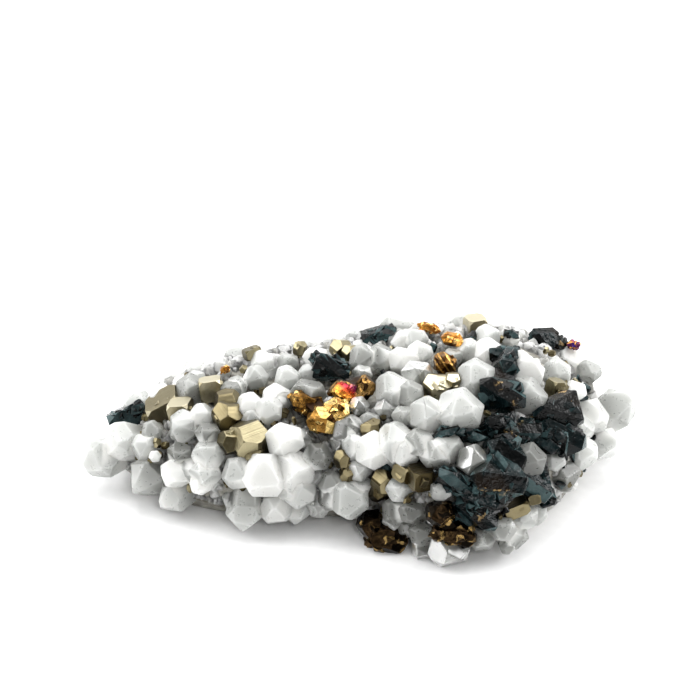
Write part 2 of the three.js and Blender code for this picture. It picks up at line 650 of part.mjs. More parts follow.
// Crystals that stand out sideways all round the rim, the lowest cut off where the rock is
function rimCrystals({ count, narrowest, widest, standOut, seed }) {
  const random = numberStream(seed);
  const made = [];
  for (let i = 0; i < count; i += 1) {
    const turn = (2 * Math.PI * (i + 0.8 * random())) / count;
    const x = ROCK_HALF_LENGTH * Math.cos(turn) * 0.96;
    const rock = rockAt(x);
    const share = Math.sign(Math.sin(turn)) * Math.abs(Math.sin(turn)) ** 0.6;
    const z = ROCK_RIM_HEIGHT * (0.8 + 0.5 * random());
    const foot = new THREE.Vector3(x, rock.middle + rock.half * share, z);
    const outwards = new THREE.Vector3(
      Math.cos(turn) + 0.5 * (random() - 0.5),
      1.2 * share + 0.4 * (random() - 0.5),
      0.7 * (random() - 0.6),
    ).normalize();
    const width = narrowest + (widest - narrowest) * random();
    const rise = standOut * (0.6 + 0.8 * random());
    const tip = foot.addScaledVector(outwards, rise);
    made.push(quartzCrystal(tip, outwards, width, rise + ROOT_DEPTH, 60 * random(), seed + i * 5));
  }
  return made;
}

// Faces that cut each mineral's box down to its habit: a direction and how far out the face lies,
// as a share of the box's half size in that direction
const CUBE_CORNERS = [1, -1].flatMap((x) => [1, -1].flatMap((y) => [[x, y, 1], [x, y, -1]]));
const PYRITE_FACES = [1, -1].flatMap((a) =>
  [1, -1].flatMap((b) => [[a, 0.5 * b, 0], [0, a, 0.5 * b], [0.5 * b, 0, a]]),
);
const HABITS = {
  cube: CUBE_CORNERS.map((corner) => ({ corner, share: 0.86 })),
  pyrite: [
    ...PYRITE_FACES.map((corner) => ({ corner, share: 0.84 })),
    ...CUBE_CORNERS.map((corner) => ({ corner, share: 0.68 })),
  ],
  sphalerite: CUBE_CORNERS.map((corner) => ({
    corner,
    share: corner[0] * corner[1] * corner[2] > 0 ? 0.5 : 0.8,
  })),
  slab: CUBE_CORNERS.map((corner, i) => ({ corner, share: 0.66 + 0.1 * (i % 3) })),
  lump: [
    ...CUBE_CORNERS.map((corner, i) => ({ corner, share: 0.58 + 0.08 * (i % 4) })),
    ...PYRITE_FACES.map((corner, i) => ({ corner, share: 0.8 + 0.05 * (i % 3) })),
  ],
};

// One crystal of another mineral, with every face moved out by grow
function mineralPiece(habit, [across, up, standOut, size, turns], grow) {
  const half = size.map((side) => side / 2);
  const box = new THREE.BoxGeometry(...half.map((h) => 2 * (h + grow)));
  let piece = solidFrom(box);
  for (const { corner, share } of HABITS[habit]) {
    const normal = new THREE.Vector3(...corner.map((c, i) => c / half[i])).normalize();
    const reach = corner.reduce((sum, c, i) => sum + Math.abs(normal.getComponent(i) * c) * half[i], 0);
    const away = reach * share + grow;
    piece = piece.trimByPlane([-normal.x, -normal.y, -normal.z], -away);
  }
  const [pitch, yaw, roll] = turns.map((angle) => THREE.MathUtils.degToRad(angle));
  const turned = new THREE.Matrix4().makeRotationFromEuler(new THREE.Euler(pitch, yaw, roll, "ZYX"));
  const picture = new THREE.Matrix4().makeBasis(RIGHT, UP, TOWARDS_EYE);
  picture.setPosition(middleOfPiece([across, up, standOut, size]));
  return piece.transform(picture.multiply(turned).elements);
}

function middleOfPiece([across, up, standOut, size]) {
  return spotSeenAt(across, up, standOut - size[2] / 2);
}

// The root that a crystal shares with the nearest of those before it
function sharedRoot(pieces, index, grow) {
  const end = middleOfPiece(pieces[index]);
  const others = pieces.slice(0, index).map(middleOfPiece);
  const start = others.reduce((a, b) => (b.distanceTo(end) < a.distanceTo(end) ? b : a));
  const thickness = ROOT_THICKNESS * Math.min(...pieces[index][3]) + 2 * grow;
  const root = new THREE.BoxGeometry(thickness, thickness, start.distanceTo(end));
  const place = new THREE.Matrix4().lookAt(start, end, TOWARDS_EYE);
  place.setPosition(start.add(end).multiplyScalar(0.5));
  return solidFrom(root.applyMatrix4(place));
}

function mineralCluster({ habit, pieces }, grow) {
  const crystals = pieces.map((piece) => mineralPiece(habit, piece, grow));
  const roots = pieces.slice(1).map((piece, i) => sharedRoot(pieces, i + 1, grow));
  return wasm.Manifold.union([...crystals, ...roots]);
}

// The quartz crystal that the first crystal of a cluster grew on
function seatCrystal({ pieces }, index) {
  const [, , , size] = pieces[0];
  const middle = middleOfPiece(pieces[0]);
  const direction = rootedDirection(middle, directionSeenAs(0, 0.3));
  const width = SEAT_WIDTH * Math.min(size[0], size[1]) + 0.6;
  const length = lengthToRock(middle, direction) + ROOT_DEPTH;
  return quartzCrystal(middle, direction, width, length, 60 * numberStream(index + 300)(), index);
}

// The part of a solid that is above the surface that the specimen rests on
function aboveFloor(solid) {
  return solid.trimByPlane([0, 0, 1], 0);
}

function centred(solid) {
  return solid.translate(-BOX_MIDDLE.x, -BOX_MIDDLE.y, 0);
}

const MATERIALS = {
  quartz: new THREE.MeshStandardMaterial({ color: 0xe4e4e0, roughness: 0.35, metalness: 0 }),
  sphalerite: new THREE.MeshStandardMaterial({ color: 0x1a2226, roughness: 0.35, metalness: 0.5 }),
  chalcopyrite: new THREE.MeshStandardMaterial({ color: 0x8a5a1c, roughness: 0.35, metalness: 0.9 }),
  pyrite: new THREE.MeshStandardMaterial({ color: 0xc9b67c, roughness: 0.3, metalness: 0.95 }),
};

function namedMesh(name, solid) {
  const mesh = new THREE.Mesh(geometryFrom(solid), MATERIALS[name.split("_")[0]]);
  mesh.name = name;
  return mesh;
}

// Each cluster gives way to those named before it, and the quartz gives way to them all
function buildSpecimen() {
  const specimen = new THREE.Group();
  let seats = null;
  for (const [name, cluster] of Object.entries(MINERALS)) {
    let solid = aboveFloor(mineralCluster(cluster, 0));
    if (seats) solid = largestBody(solid.subtract(seats));
    specimen.add(namedMesh(name, centred(solid)));
    const seat = mineralCluster(cluster, SEAT_GAP);
    seats = seats ? seats.add(seat) : seat;
  }
  const crystals = [
    ...seenCrystals(),
    ...spreadCrystals(FILLERS, 0.02, 0.6),
    ...spreadCrystals(BACK_CRYSTALS, 0.62, 0.99),
    ...rimCrystals(RIM_CRYSTALS),
    ...Object.values(MINERALS).map(seatCrystal),
  ];
  const quartz = aboveFloor(wasm.Manifold.union([rockSolid(), ...crystals])).subtract(seats);
  specimen.add(namedMesh("quartz", smoothed(centred(quartz))));
  return specimen;
}

export default buildSpecimen();
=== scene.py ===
import math

import bmesh
import bpy
from mathutils import Matrix, Vector, noise


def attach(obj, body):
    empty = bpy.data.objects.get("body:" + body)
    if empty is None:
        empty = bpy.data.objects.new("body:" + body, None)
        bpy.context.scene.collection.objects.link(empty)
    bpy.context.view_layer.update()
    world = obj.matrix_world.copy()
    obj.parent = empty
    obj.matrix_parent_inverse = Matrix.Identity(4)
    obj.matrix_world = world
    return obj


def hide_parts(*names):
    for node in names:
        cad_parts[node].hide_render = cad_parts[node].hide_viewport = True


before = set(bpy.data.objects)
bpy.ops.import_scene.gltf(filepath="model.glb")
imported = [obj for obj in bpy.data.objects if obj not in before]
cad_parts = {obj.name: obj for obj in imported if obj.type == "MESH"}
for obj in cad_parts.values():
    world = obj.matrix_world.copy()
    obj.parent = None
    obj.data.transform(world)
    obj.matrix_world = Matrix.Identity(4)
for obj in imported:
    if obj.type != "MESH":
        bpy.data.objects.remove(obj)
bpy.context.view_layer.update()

# The view: a long lens looks along the specimen's depth and down on it, at the height of a
# table photograph. Places are in millimetres on the specimen's own axes, until to_metres
# makes them metres round the middle of its box.
MM = 0.001
BOX_MIDDLE = Vector((0.329, -0.772, 0))
EYE_PITCH = math.radians(29)
EYE_DISTANCE = 200
RIGHT = Vector((1, 0, 0))
UP = Vector((0, math.sin(EYE_PITCH), math.cos(EYE_PITCH)))
TOWARDS_EYE = Vector((0, -math.cos(EYE_PITCH), math.sin(EYE_PITCH)))
PICTURE_MIDDLE = Vector((0, -4, 5)) - RIGHT + 10 * UP
PICTURE_WIDTH = 70
SENSOR_WIDTH = 36
EYE = PICTURE_MIDDLE + EYE_DISTANCE * TOWARDS_EYE
to_metres = Matrix.Scale(MM, 4) @ Matrix.Translation(-BOX_MIDDLE)

camera_data = bpy.data.cameras.new("view")
camera_data.sensor_width = SENSOR_WIDTH
camera_data.lens = SENSOR_WIDTH * EYE_DISTANCE / PICTURE_WIDTH
camera_data.clip_start = 0.01
camera = bpy.data.objects.new("view", camera_data)
picture_axes = Matrix((RIGHT, UP, TOWARDS_EYE)).transposed().to_4x4()
camera.matrix_world = Matrix.Translation(to_metres @ EYE) @ picture_axes
bpy.context.scene.collection.objects.link(camera)
bpy.context.scene.camera = camera


# The table: a sheet of bright white paper under a photographer's lights, which keeps soft
# grey shadows only where the specimen shades it.
def finished_piece(name, bm, material):
    """A new object from a bmesh in metres, with its material."""
    mesh = bpy.data.meshes.new(name)
    bm.to_mesh(mesh)
    bm.free()
    mesh.materials.append(material)
    piece = bpy.data.objects.new(name, mesh)
    bpy.context.scene.collection.objects.link(piece)
    return piece


def new_material(name):
    """A node material's nodes, its links and its Principled shader."""
    material = bpy.data.materials.new(name)
    material.use_nodes = True
    nodes = material.node_tree.nodes
    return material, nodes, material.node_tree.links, nodes["Principled BSDF"]


def coloured_ramp(nodes, stops):
    """A colour ramp with (place, (red, green, blue)) stops."""
    ramp = nodes.new("ShaderNodeValToRGB")
    elements = ramp.color_ramp.elements
    while len(elements) < len(stops):
        elements.new(0.5)
    for element, (place, colour) in zip(elements, stops):
        element.position = place
        element.color = (*colour, 1)
    return ramp


def grey_tone(brightness):
    """A grey for a colour ramp."""
    return (brightness, brightness, brightness)


PAPER_HALF_SIZE = 1.5
# The sky is brightest above and behind the specimen, and dim on the camera's side
SKY_TILT = math.radians(30)
SKY_STRENGTH = 1.0
SKY_STOPS = [
    (0.0, grey_tone(0.1)),
    (0.45, grey_tone(0.22)),
    (0.62, grey_tone(0.6)),
    (0.8, grey_tone(1.25)),
    (1.0, grey_tone(1.3)),
]
paper, nodes, links, shader = new_material("paper")
shader.inputs["Roughness"].default_value = 0.9
shader.inputs["Specular IOR Level"].default_value = 0.1
paper_fibre = nodes.new("ShaderNodeTexNoise")
paper_fibre.inputs["Scale"].default_value = 900
paper_place = nodes.new("ShaderNodeTexCoord")
links.new(paper_place.outputs["Object"], paper_fibre.inputs["Vector"])
paper_tone = coloured_ramp(nodes, [(0.3, grey_tone(0.86)), (0.7, grey_tone(0.9))])
links.new(paper_fibre.outputs["Fac"], paper_tone.inputs["Fac"])
links.new(paper_tone.outputs["Color"], shader.inputs["Base Color"])
bm = bmesh.new()
bmesh.ops.create_grid(bm, x_segments=1, y_segments=1, size=PAPER_HALF_SIZE)
sheet_of_paper = finished_piece("paper", bm, paper)

world = bpy.data.worlds.new("studio")
bpy.context.scene.world = world
world.use_nodes = True
nodes, links = world.node_tree.nodes, world.node_tree.links
sky_place = nodes.new("ShaderNodeTexCoord")
sky_turn = nodes.new("ShaderNodeMapping")
sky_turn.inputs["Rotation"].default_value = (SKY_TILT, 0, 0)
links.new(sky_place.outputs["Generated"], sky_turn.inputs["Vector"])
sky_axes = nodes.new("ShaderNodeSeparateXYZ")
links.new(sky_turn.outputs["Vector"], sky_axes.inputs["Vector"])
sky_range = nodes.new("ShaderNodeMapRange")
sky_range.inputs["From Min"].default_value = -1
links.new(sky_axes.outputs["Z"], sky_range.inputs["Value"])
sky_tone = coloured_ramp(nodes, SKY_STOPS)
links.new(sky_range.outputs["Result"], sky_tone.inputs["Fac"])
links.new(sky_tone.outputs["Color"], nodes["Background"].inputs["Color"])
nodes["Background"].inputs["Strength"].default_value = SKY_STRENGTH


LIT_MIDDLE = Vector((0, 0, 5))


def soft_light(name, place, width, power):
    """A square soft box that faces the specimen."""
    data = bpy.data.lights.new(name, "AREA")
    data.size = width * MM
    data.energy = power
    light = bpy.data.objects.new(name, data)
    light.location = Vector(place) * MM
    light.rotation_euler = (Vector(place) - LIT_MIDDLE).to_track_quat("Z", "Y").to_euler()
    bpy.context.scene.collection.objects.link(light)


soft_light("top_box", place=(0, 120, 320), width=320, power=1.0)
soft_light("left_box", place=(-260, 20, 140), width=160, power=0.5)
soft_light("right_box", place=(260, 40, 140), width=160, power=0.6)
soft_light("front_box", place=(60, -300, 220), width=90, power=0.3)
bpy.context.scene.view_settings.view_transform = "Standard"
bpy.context.scene.view_settings.exposure = 0.0


# The rock under the crystals: a lens of coarse grey-white vein quartz that broke off its wall
# flat underneath. Each section across it has its place along the length, its front edge, its
# back edge and its top.
ROCK_HALF_LENGTH = 25
ROCK_RIM_HEIGHT = 2.4
ROCK_FOOT_SHARE = 0.66
ROCK_ROUGHNESS = 0.7
ROCK_SEGMENTS = 120
ROCK_RINGS = 90
ROCK_SECTIONS = [
    (-24, -4, 5.5, 5.2),
    (-20, -7, 9.5, 7.6),
    (-13, -9.5, 11, 9.2),
    (-6, -10, 12.5, 9.9),
    (1, -11, 13.5, 10.8),
    (7, -15, 15, 11.8),
    (13, -15.5, 15, 12.2),
    (19, -10, 14, 11.4),
    (24.5, -2, 11, 8.8),
]
# The powers give the rock its full ends, its square flanks and its rounded shoulders
ALONG_POWER = 6
ACROSS_POWER = 4
HEIGHT_POWER = 2.2
STREAM_PRIME = 2147483647
STREAM_FACTOR = 48271


def number_stream(seed):
    """Numbers between 0 and 1 that are the same on every run."""
    state = (seed * 7919 + 12345) % STREAM_PRIME
    while True:
        state = state * STREAM_FACTOR % STREAM_PRIME
        yield state / STREAM_PRIME


def rock_at(x):
    """The middle, the half depth and the height of the rock at x."""
    i = 0
    while i < len(ROCK_SECTIONS) - 2 and x > ROCK_SECTIONS[i + 1][0]:
        i += 1
    before, after = ROCK_SECTIONS[i], ROCK_SECTIONS[i + 1]
    share = min(1, max(0, (x - before[0]) / (after[0] - before[0])))
    smooth = share * share * (3 - 2 * share)
    share = 0.5 * smooth + 0.5 * share
    front, back, top = (a + (b - a) * share for a, b in zip(before[1:], after[1:]))
    return (front + back) / 2, (back - front) / 2, top


def rock_field(point, stand_out):
    """Under 1 inside the rock's upper form when that is grown by stand_out."""
    middle, half, top = rock_at(point.x)
    rise = max(0, point.z - ROCK_RIM_HEIGHT)
    along = abs(point.x / (ROCK_HALF_LENGTH + stand_out)) ** ALONG_POWER
    across = abs((point.y - middle) / (half + stand_out)) ** ACROSS_POWER
    return along + across + (rise / (top - ROCK_RIM_HEIGHT + stand_out)) ** HEIGHT_POWER


def rock_foot(x, turn):
    """A point on the rock at x: turn is 0 at the front edge and half a turn at the back edge."""
    middle, half, top = rock_at(x)
    reach = math.sqrt(1 - abs(x / ROCK_HALF_LENGTH) ** ALONG_POWER)
    across = math.copysign(abs(math.cos(turn)) ** (2 / ACROSS_POWER), math.cos(turn))
    height = (top - ROCK_RIM_HEIGHT) * reach * math.sin(turn) ** (2 / HEIGHT_POWER)
    return Vector((x, middle - half * reach * across, ROCK_RIM_HEIGHT + height))


def pulled_to_rock(point):
    """Where a point of a sphere of radius 1, its poles along X, lies on the rock."""
    x = math.copysign(ROCK_HALF_LENGTH * (1 - (1 - min(1, abs(point.x))) ** 1.3), point.x)
    middle, half, top = rock_at(x)
    turn = math.atan2(point.z, point.y)
    reach = min(1, math.hypot(point.y, point.z) * 1.25)
    across = math.cos(turn)
    depth = ROCK_ROUGHNESS * (0.5 + 0.9 * noise.noise(Vector((x, 9 * turn, 3)) * 0.5))
    share = math.copysign(abs(across) ** (2 / ACROSS_POWER), across)
    if point.z >= -1e-6:
        height = (top - depth - ROCK_RIM_HEIGHT) * reach
        z = ROCK_RIM_HEIGHT + height * abs(math.sin(turn)) ** (2 / HEIGHT_POWER)
    else:
        past = max(0, abs(across) - ROCK_FOOT_SHARE) / (1 - ROCK_FOOT_SHARE)
        z = ROCK_RIM_HEIGHT * max(past ** 1.3, 1 - reach)
    return Vector((x, middle + half * reach * share, z))


def object_noise(nodes, links, scale, detail, roughness=0.6):
    """A noise pattern fixed to the piece, scale per metre."""
    place = nodes.new("ShaderNodeTexCoord")
    pattern = nodes.new("ShaderNodeTexNoise")
    pattern.inputs["Scale"].default_value = scale
    pattern.inputs["Detail"].default_value = detail
    pattern.inputs["Roughness"].default_value = roughness
    links.new(place.outputs["Object"], pattern.inputs["Vector"])
    return pattern


def bumped(nodes, links, shader, height, distance, strength):
    """Presses a height pattern into the shader's surface."""
    bump = nodes.new("ShaderNodeBump")
    bump.inputs["Distance"].default_value = distance
    bump.inputs["Strength"].default_value = strength
    links.new(height, bump.inputs["Height"])
    links.new(bump.outputs["Normal"], shader.inputs["Normal"])


vein_quartz, nodes, links, shader = new_material("vein_quartz")
grains = object_noise(nodes, links, scale=900, detail=6)
grain_tone = coloured_ramp(nodes, [(0.35, (0.09, 0.08, 0.06)), (0.62, (0.36, 0.35, 0.31))])
links.new(grains.outputs["Fac"], grain_tone.inputs["Fac"])
links.new(grain_tone.outputs["Color"], shader.inputs["Base Color"])
shader.inputs["Roughness"].default_value = 0.5
bumped(nodes, links, shader, grains.outputs["Fac"], distance=0.0004, strength=0.8)

bm = bmesh.new()
poles_along_x = Matrix.Rotation(math.pi / 2, 4, "Y")
bmesh.ops.create_uvsphere(
    bm, u_segments=ROCK_SEGMENTS, v_segments=ROCK_RINGS, radius=1, matrix=poles_along_x
)
for vert in bm.verts:
    vert.co = pulled_to_rock(vert.co)
bmesh.ops.remove_doubles(bm, verts=bm.verts, dist=1e-4)
bmesh.ops.recalc_face_normals(bm, faces=bm.faces)
for vert in bm.verts:
    vert.co.z = max(0, vert.co.z)
bm.transform(to_metres)
rock = finished_piece("quartz_rock", bm, vein_quartz)
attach(rock, "root")
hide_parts("quartz")


# The ore minerals' crystals. Each starts as a block, and the faces of its habit are cut on it:
# cubes with cut corners and five-sided-face forms for pyrite, four-sided ones for sphalerite,
# rounded lumps for chalcopyrite.
CUBE_CORNERS = [(x, y, z) for x in (1, -1) for y in (1, -1) for z in (1, -1)]
PYRITE_FACES = [
    face
    for a in (1, -1)
    for b in (1, -1)
    for face in ((a, 0.5 * b, 0), (0, a, 0.5 * b), (0.5 * b, 0, a))
]
# Each face that is cut on a block has its direction and the share of the block that it leaves
HABITS = {
    "cube": [(corner, 0.86) for corner in CUBE_CORNERS],
    "pyrite": [(corner, 0.84) for corner in PYRITE_FACES]
    + [(corner, 0.68) for corner in CUBE_CORNERS],
    "sphalerite": [
        (corner, 0.5 if corner[0] * corner[1] * corner[2] > 0 else 0.8)
        for corner in CUBE_CORNERS
    ],
    "slab": [(corner, 0.66 + 0.1 * (i % 3)) for i, corner in enumerate(CUBE_CORNERS)],
    "lump": [(corner, 0.58 + 0.08 * (i % 4)) for i, corner in enumerate(CUBE_CORNERS)]
    + [(corner, 0.8 + 0.05 * (i % 3)) for i, corner in enumerate(PYRITE_FACES)],
}
ROOT_THICKNESS = 0.6
LONGEST_EDGE = 0.55
WIDEST_EDGE_SHARE = 0.06
SIGHT_FROM = 160
SIGHT_TO = 250
SIGHT_STEP = 0.1
# A natural unevenness: how smooth it is, how much finer each layer is, and the layers
WEAR_FRACTAL = (0.9, 2.0, 4)
# The small crystals on a crystal, as shares of its sides: their size and how far aside they sit
LEAST_STEP_SIZE = 0.2
MORE_STEP_SIZE = 0.35
LEAST_STEP_ASIDE = 0.3
MORE_STEP_ASIDE = 0.1
# The first crystal of each cluster, which a quartz crystal of its own carries
seats = []


def spot_seen_at(across, up, stand_out):
    """Where the line of sight through a point of the picture meets the rock grown by
    stand_out, or, where it passes by, the place on the line that is nearest to it."""
    sight = (PICTURE_MIDDLE + across * RIGHT + up * UP - EYE).normalized()
    best, best_field = None, math.inf
    along = SIGHT_FROM
    while along < SIGHT_TO:
        point = EYE + along * sight
        field = rock_field(point, stand_out)
        if field < best_field:
            best, best_field = point, field
        if field < 1:
            break
        along += SIGHT_STEP
    return best


def cut_off(bm, point, normal):
    """Takes away what lies beyond a plane, and closes the cut."""
    every_part = bm.verts[:] + bm.edges[:] + bm.faces[:]
    cut = bmesh.ops.bisect_plane(
        bm, geom=every_part, dist=1e-6, plane_co=point, plane_no=normal, clear_outer=True
    )
    rim = [e for e in cut["geom_cut"] if isinstance(e, bmesh.types.BMEdge)]
    if rim:
        bmesh.ops.contextual_create(bm, geom=rim)


def habit_block(habit, size):
    """A block of that size with its habit's faces cut on it."""
    half = [side / 2 for side in size]
    bm = bmesh.new()
    bmesh.ops.create_cube(bm, size=1, matrix=Matrix.Diagonal((*size, 1)))
    for corner, share in HABITS[habit]:
        normal = Vector([c / h for c, h in zip(corner, half)]).normalized()
        reach = sum(abs(n * c) * h for n, c, h in zip(normal, corner, half))
        cut_off(bm, normal * reach * share, normal)
    bmesh.ops.remove_doubles(bm, verts=bm.verts, dist=0.01)
    bmesh.ops.recalc_face_normals(bm, faces=bm.faces)
    return bm


def middle_of(block):
    """Where the middle of one crystal of a cluster is."""
    across, up, stand_out, size, _ = block
    return spot_seen_at(across, up, stand_out - size[2] / 2)


def toned_and_shaded_by_face(bm, seed):
    """Gives each face of a crystal a random tone of its own, which also paints light and shade on
    the facet.
    """
    facet_tone_and_shade = bm.faces.layers.float.new("facet_tone_and_shade")
    random = number_stream(seed + 50)
    for face in bm.faces:
        face[facet_tone_and_shade] = next(random)


def written_on_mesh(nodes, attribute_name):
    """A number that the mesh itself holds."""
    attribute = nodes.new("ShaderNodeAttribute")
    attribute.attribute_name = attribute_name
    return attribute.outputs["Fac"]


def face_tone_with_painted_shade(nodes, links, patches):
    """Half the face's own tone, with its painted facet light and shade, and half the patches."""
    both = nodes.new("ShaderNodeMix")
    both.inputs[0].default_value = 0.5
    links.new(written_on_mesh(nodes, "facet_tone_and_shade"), both.inputs[2])
    links.new(patches.outputs["Fac"], both.inputs[3])
    return both.outputs[0]


def laid_over(nodes, links, under, over, share):
    """One colour laid over another by a share: over is a fixed colour or a node's output."""
    mix = nodes.new("ShaderNodeMix")
    mix.data_type = "RGBA"
    links.new(share, mix.inputs[0])
    links.new(under, mix.inputs[6])
    if isinstance(over, tuple):
        mix.inputs[7].default_value = (*over, 1)
    else:
        links.new(over, mix.inputs[7])
    return mix.outputs[2]


def striated(bm):
    """Writes on each face the direction that its growth lines cross."""
    band = bm.loops.layers.float.new("band")
    for face in bm.faces:
        sizes = [abs(c) for c in face.normal]
        axis = (sizes.index(max(sizes)) + 1) % 3
        for loop in face.loops:
            loop[band] = loop.vert.co[axis]


def worn(bm, roughness, scale, seed):
    """Moves a fine mesh in and out by a natural unevenness."""
    offset = Vector((seed, 2 * seed, 3 * seed))
    for vert in bm.verts:
        uneven = noise.fractal(vert.co * scale + offset, *WEAR_FRACTAL)
        vert.co += vert.normal * roughness * uneven


def added_to(whole, bm):
    """Adds one bmesh to another."""
    part = bpy.data.meshes.new("part")
    bm.to_mesh(part)
    bm.free()
    whole.from_mesh(part)
    bpy.data.meshes.remove(part)


def ore_crystal(whole, habit, size, place, finish, seed):
    """Adds one crystal of an ore mineral to its cluster: place turns and moves the block, and
    finish holds how wide its edges are worn, how often its mesh is cut finer, how uneven its
    faces are and how closely that changes."""
    edge, cuts, roughness, scale = finish
    bm = habit_block(habit, size)
    toned_and_shaded_by_face(bm, seed)
    bmesh.ops.bevel(
        bm,
        geom=bm.edges[:],
        offset=min(edge, WIDEST_EDGE_SHARE * min(size)),
        segments=2,
        profile=0.5,
        affect="EDGES",
        material=-1,
    )
    bmesh.ops.triangulate(bm, faces=bm.faces)
    for _ in range(cuts):
        long_edges = [e for e in bm.edges if e.calc_length() > LONGEST_EDGE]
        bmesh.ops.subdivide_edges(bm, edges=long_edges, cuts=1)
        bmesh.ops.triangulate(bm, faces=bm.faces)
    striated(bm)
    bm.normal_update()
    worn(bm, roughness, scale, seed)
    bm.transform(place)
    cut_off(bm, Vector((0, 0, 0)), Vector((0, 0, -1)))
    bm.transform(to_metres)
    added_to(whole, bm)


def shared_root(whole, start, end, thickness):
    """The root that two crystals of a cluster share."""
    along = (start - end).to_track_quat("Z", "Y").to_matrix().to_4x4()
    shape = Matrix.Diagonal((thickness, thickness, (start - end).length, 1))
    bm = bmesh.new()
    bmesh.ops.create_cube(bm, size=1, matrix=Matrix.Translation((start + end) / 2) @ along @ shape)
    cut_off(bm, Vector((0, 0, 0)), Vector((0, 0, -1)))
    bm.transform(to_metres)
    added_to(whole, bm)


def turned_by(degrees):
    """A turn about the three axes, the third of them last."""
    pitch, yaw, roll = (math.radians(turn) for turn in degrees)
    across = Matrix.Rotation(yaw, 4, "Y") @ Matrix.Rotation(pitch, 4, "X")
    return Matrix.Rotation(roll, 4, "Z") @ across


def ore_cluster(name, habit, blocks, material, finish, step_count, step_turn):
    """One cluster as a finished piece that stands for its solid. Each crystal carries some
    small ones of its own kind, turned from it by up to step_turn degrees."""
    whole = bmesh.new()
    whole.loops.layers.float.new("band")
    whole.faces.layers.float.new("facet_tone_and_shade")
    middles = [middle_of(block) for block in blocks]
    random = number_stream(sum(ord(letter) for letter in name))
    for index, (block, middle) in enumerate(zip(blocks, middles)):
        _, _, _, size, turns = block
        place = Matrix.Translation(middle) @ picture_axes @ turned_by(turns)
        ore_crystal(whole, habit, size, place, finish, index + len(name))
        for step in range(step_count):
            aside = Vector([2 * next(random) - 1 for _ in range(2)] + [0.9 * next(random)])
            aside = aside.normalized() * (LEAST_STEP_ASIDE + MORE_STEP_ASIDE * next(random))
            small = [side * (LEAST_STEP_SIZE + MORE_STEP_SIZE * next(random)) for side in size]
            askew = turned_by([step_turn * (2 * next(random) - 1) for _ in range(3)])
            shift = Matrix.Translation([a * side for a, side in zip(aside, size)])
            ore_crystal(whole, habit, small, place @ shift @ askew, finish, step + index)
        if index:
            start = min(middles[:index], key=lambda other: (other - middle).length)
            shared_root(whole, start, middle, ROOT_THICKNESS * min(size))
    piece = finished_piece(name + "_crystals", whole, material)
    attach(piece, "root")
    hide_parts(name)
    seats.append(blocks[0])


# Sphalerite: near-black crystals with a glassy to resinous lustre, in four-sided forms with
# stepped faces, with a teal sheen and gold glints painted on. They grew on the quartz and are sunk
# in it. Each crystal's row gives its place right and up in the picture, how far it stands out, its
# size and its turns.
SPHALERITE = {
    "sphalerite_main": ("sphalerite", [
        (14.6, -12.8, 3.1, (4.6, 4.4, 3.8), (20, 10, 35)),
        (15.4, -10.4, 2.5, (3.2, 3.4, 3.0), (0, 20, 15)),
        (18.2, -13.0, 2.5, (3.4, 3.8, 3.2), (30, 0, 10)),
        (10.7, -13.1, 2.9, (4.4, 2.4, 3.0), (15, 10, -12)),
        (13.2, -14.6, 2.5, (3.8, 3.0, 3.0), (0, 0, 20)),
        (12.6, -16.2, 2.3, (4.4, 2.4, 3.0), (10, 0, -15)),
        (15.0, -7.6, 2.3, (3.2, 2.8, 3.0), (25, 15, 0)),
        (17.2, -8.3, 2.1, (3.0, 2.4, 3.0), (0, 30, 40)),
        (12.0, -8.4, 2.1, (3.2, 1.5, 2.6), (0, 0, 5)),
        (9.6, -8.2, 2.9, (2.6, 1.1, 2.2), (0, 0, 35)),
        (19.2, -8.8, 2.3, (3.4, 2.6, 3.2), (10, 0, 0)),
        (20.9, -8.6, 2.9, (3.8, 4.2, 3.4), (0, 20, 25)),
        (20.6, -6.2, 3.3, (4.8, 3.0, 3.4), (20, 0, 12)),
        (19.6, -14.6, 2.3, (1.7, 2.0, 2.2), (0, 0, 20)),
    ]),
    "sphalerite_upper": ("sphalerite", [
        (15.2, -4.5, 3.3, (4.4, 2.9, 3.2), (15, 0, 180)),
        (15.8, -2.0, 3.5, (3.4, 3.6, 3.4), (30, 30, 10)),
        (15.5, -0.6, 2.9, (3.2, 1.8, 2.4), (0, 0, 4)),
    ]),
    "sphalerite_left": ("slab", [
        (-22.3, -6.7, 2.7, (3.7, 2.0, 2.2), (10, 0, 24)),
        (-21.2, -5.9, 2.5, (1.6, 1.2, 1.6), (0, 0, 50)),
    ]),
    "sphalerite_teal": ("sphalerite", [
        (-1.8, -1.9, 2.9, (3.6, 2.2, 2.4), (20, 0, 170)),
        (-2.9, -1.2, 2.7, (2.4, 1.4, 2.0), (0, 0, -40)),
    ]),
    "sphalerite_crest": ("slab", [
        (2.8, 1.4, 1.9, (3.4, 1.5, 2.0), (20, 0, 14)),
        (3.9, 1.9, 1.9, (1.4, 1.2, 1.6), (0, 0, 30)),
    ]),
    "sphalerite_fleck": ("slab", [(16.1, 1.6, 2.8, (1.5, 0.8, 1.4), (0, 0, -10))]),
    "sphalerite_ridge": ("sphalerite", [
        (19.3, 1.2, 2.0, (2.8, 2.0, 2.4), (30, 0, -20)),
        (20.9, 0.7, 1.9, (1.6, 1.3, 1.6), (0, 0, -30)),
    ]),
}
blende, nodes, links, shader = new_material("sphalerite")
patches = object_noise(nodes, links, scale=600, detail=4)
BLACK = (0.0005, 0.001, 0.001)
DARK_TEAL = (0.003, 0.008, 0.009)
PAINTED_TEAL_SHEEN = (0.045, 0.078, 0.08)
BROWN_BLACK = (0.008, 0.005, 0.003)
PAINTED_GOLD_GLINT = (0.4, 0.27, 0.12)
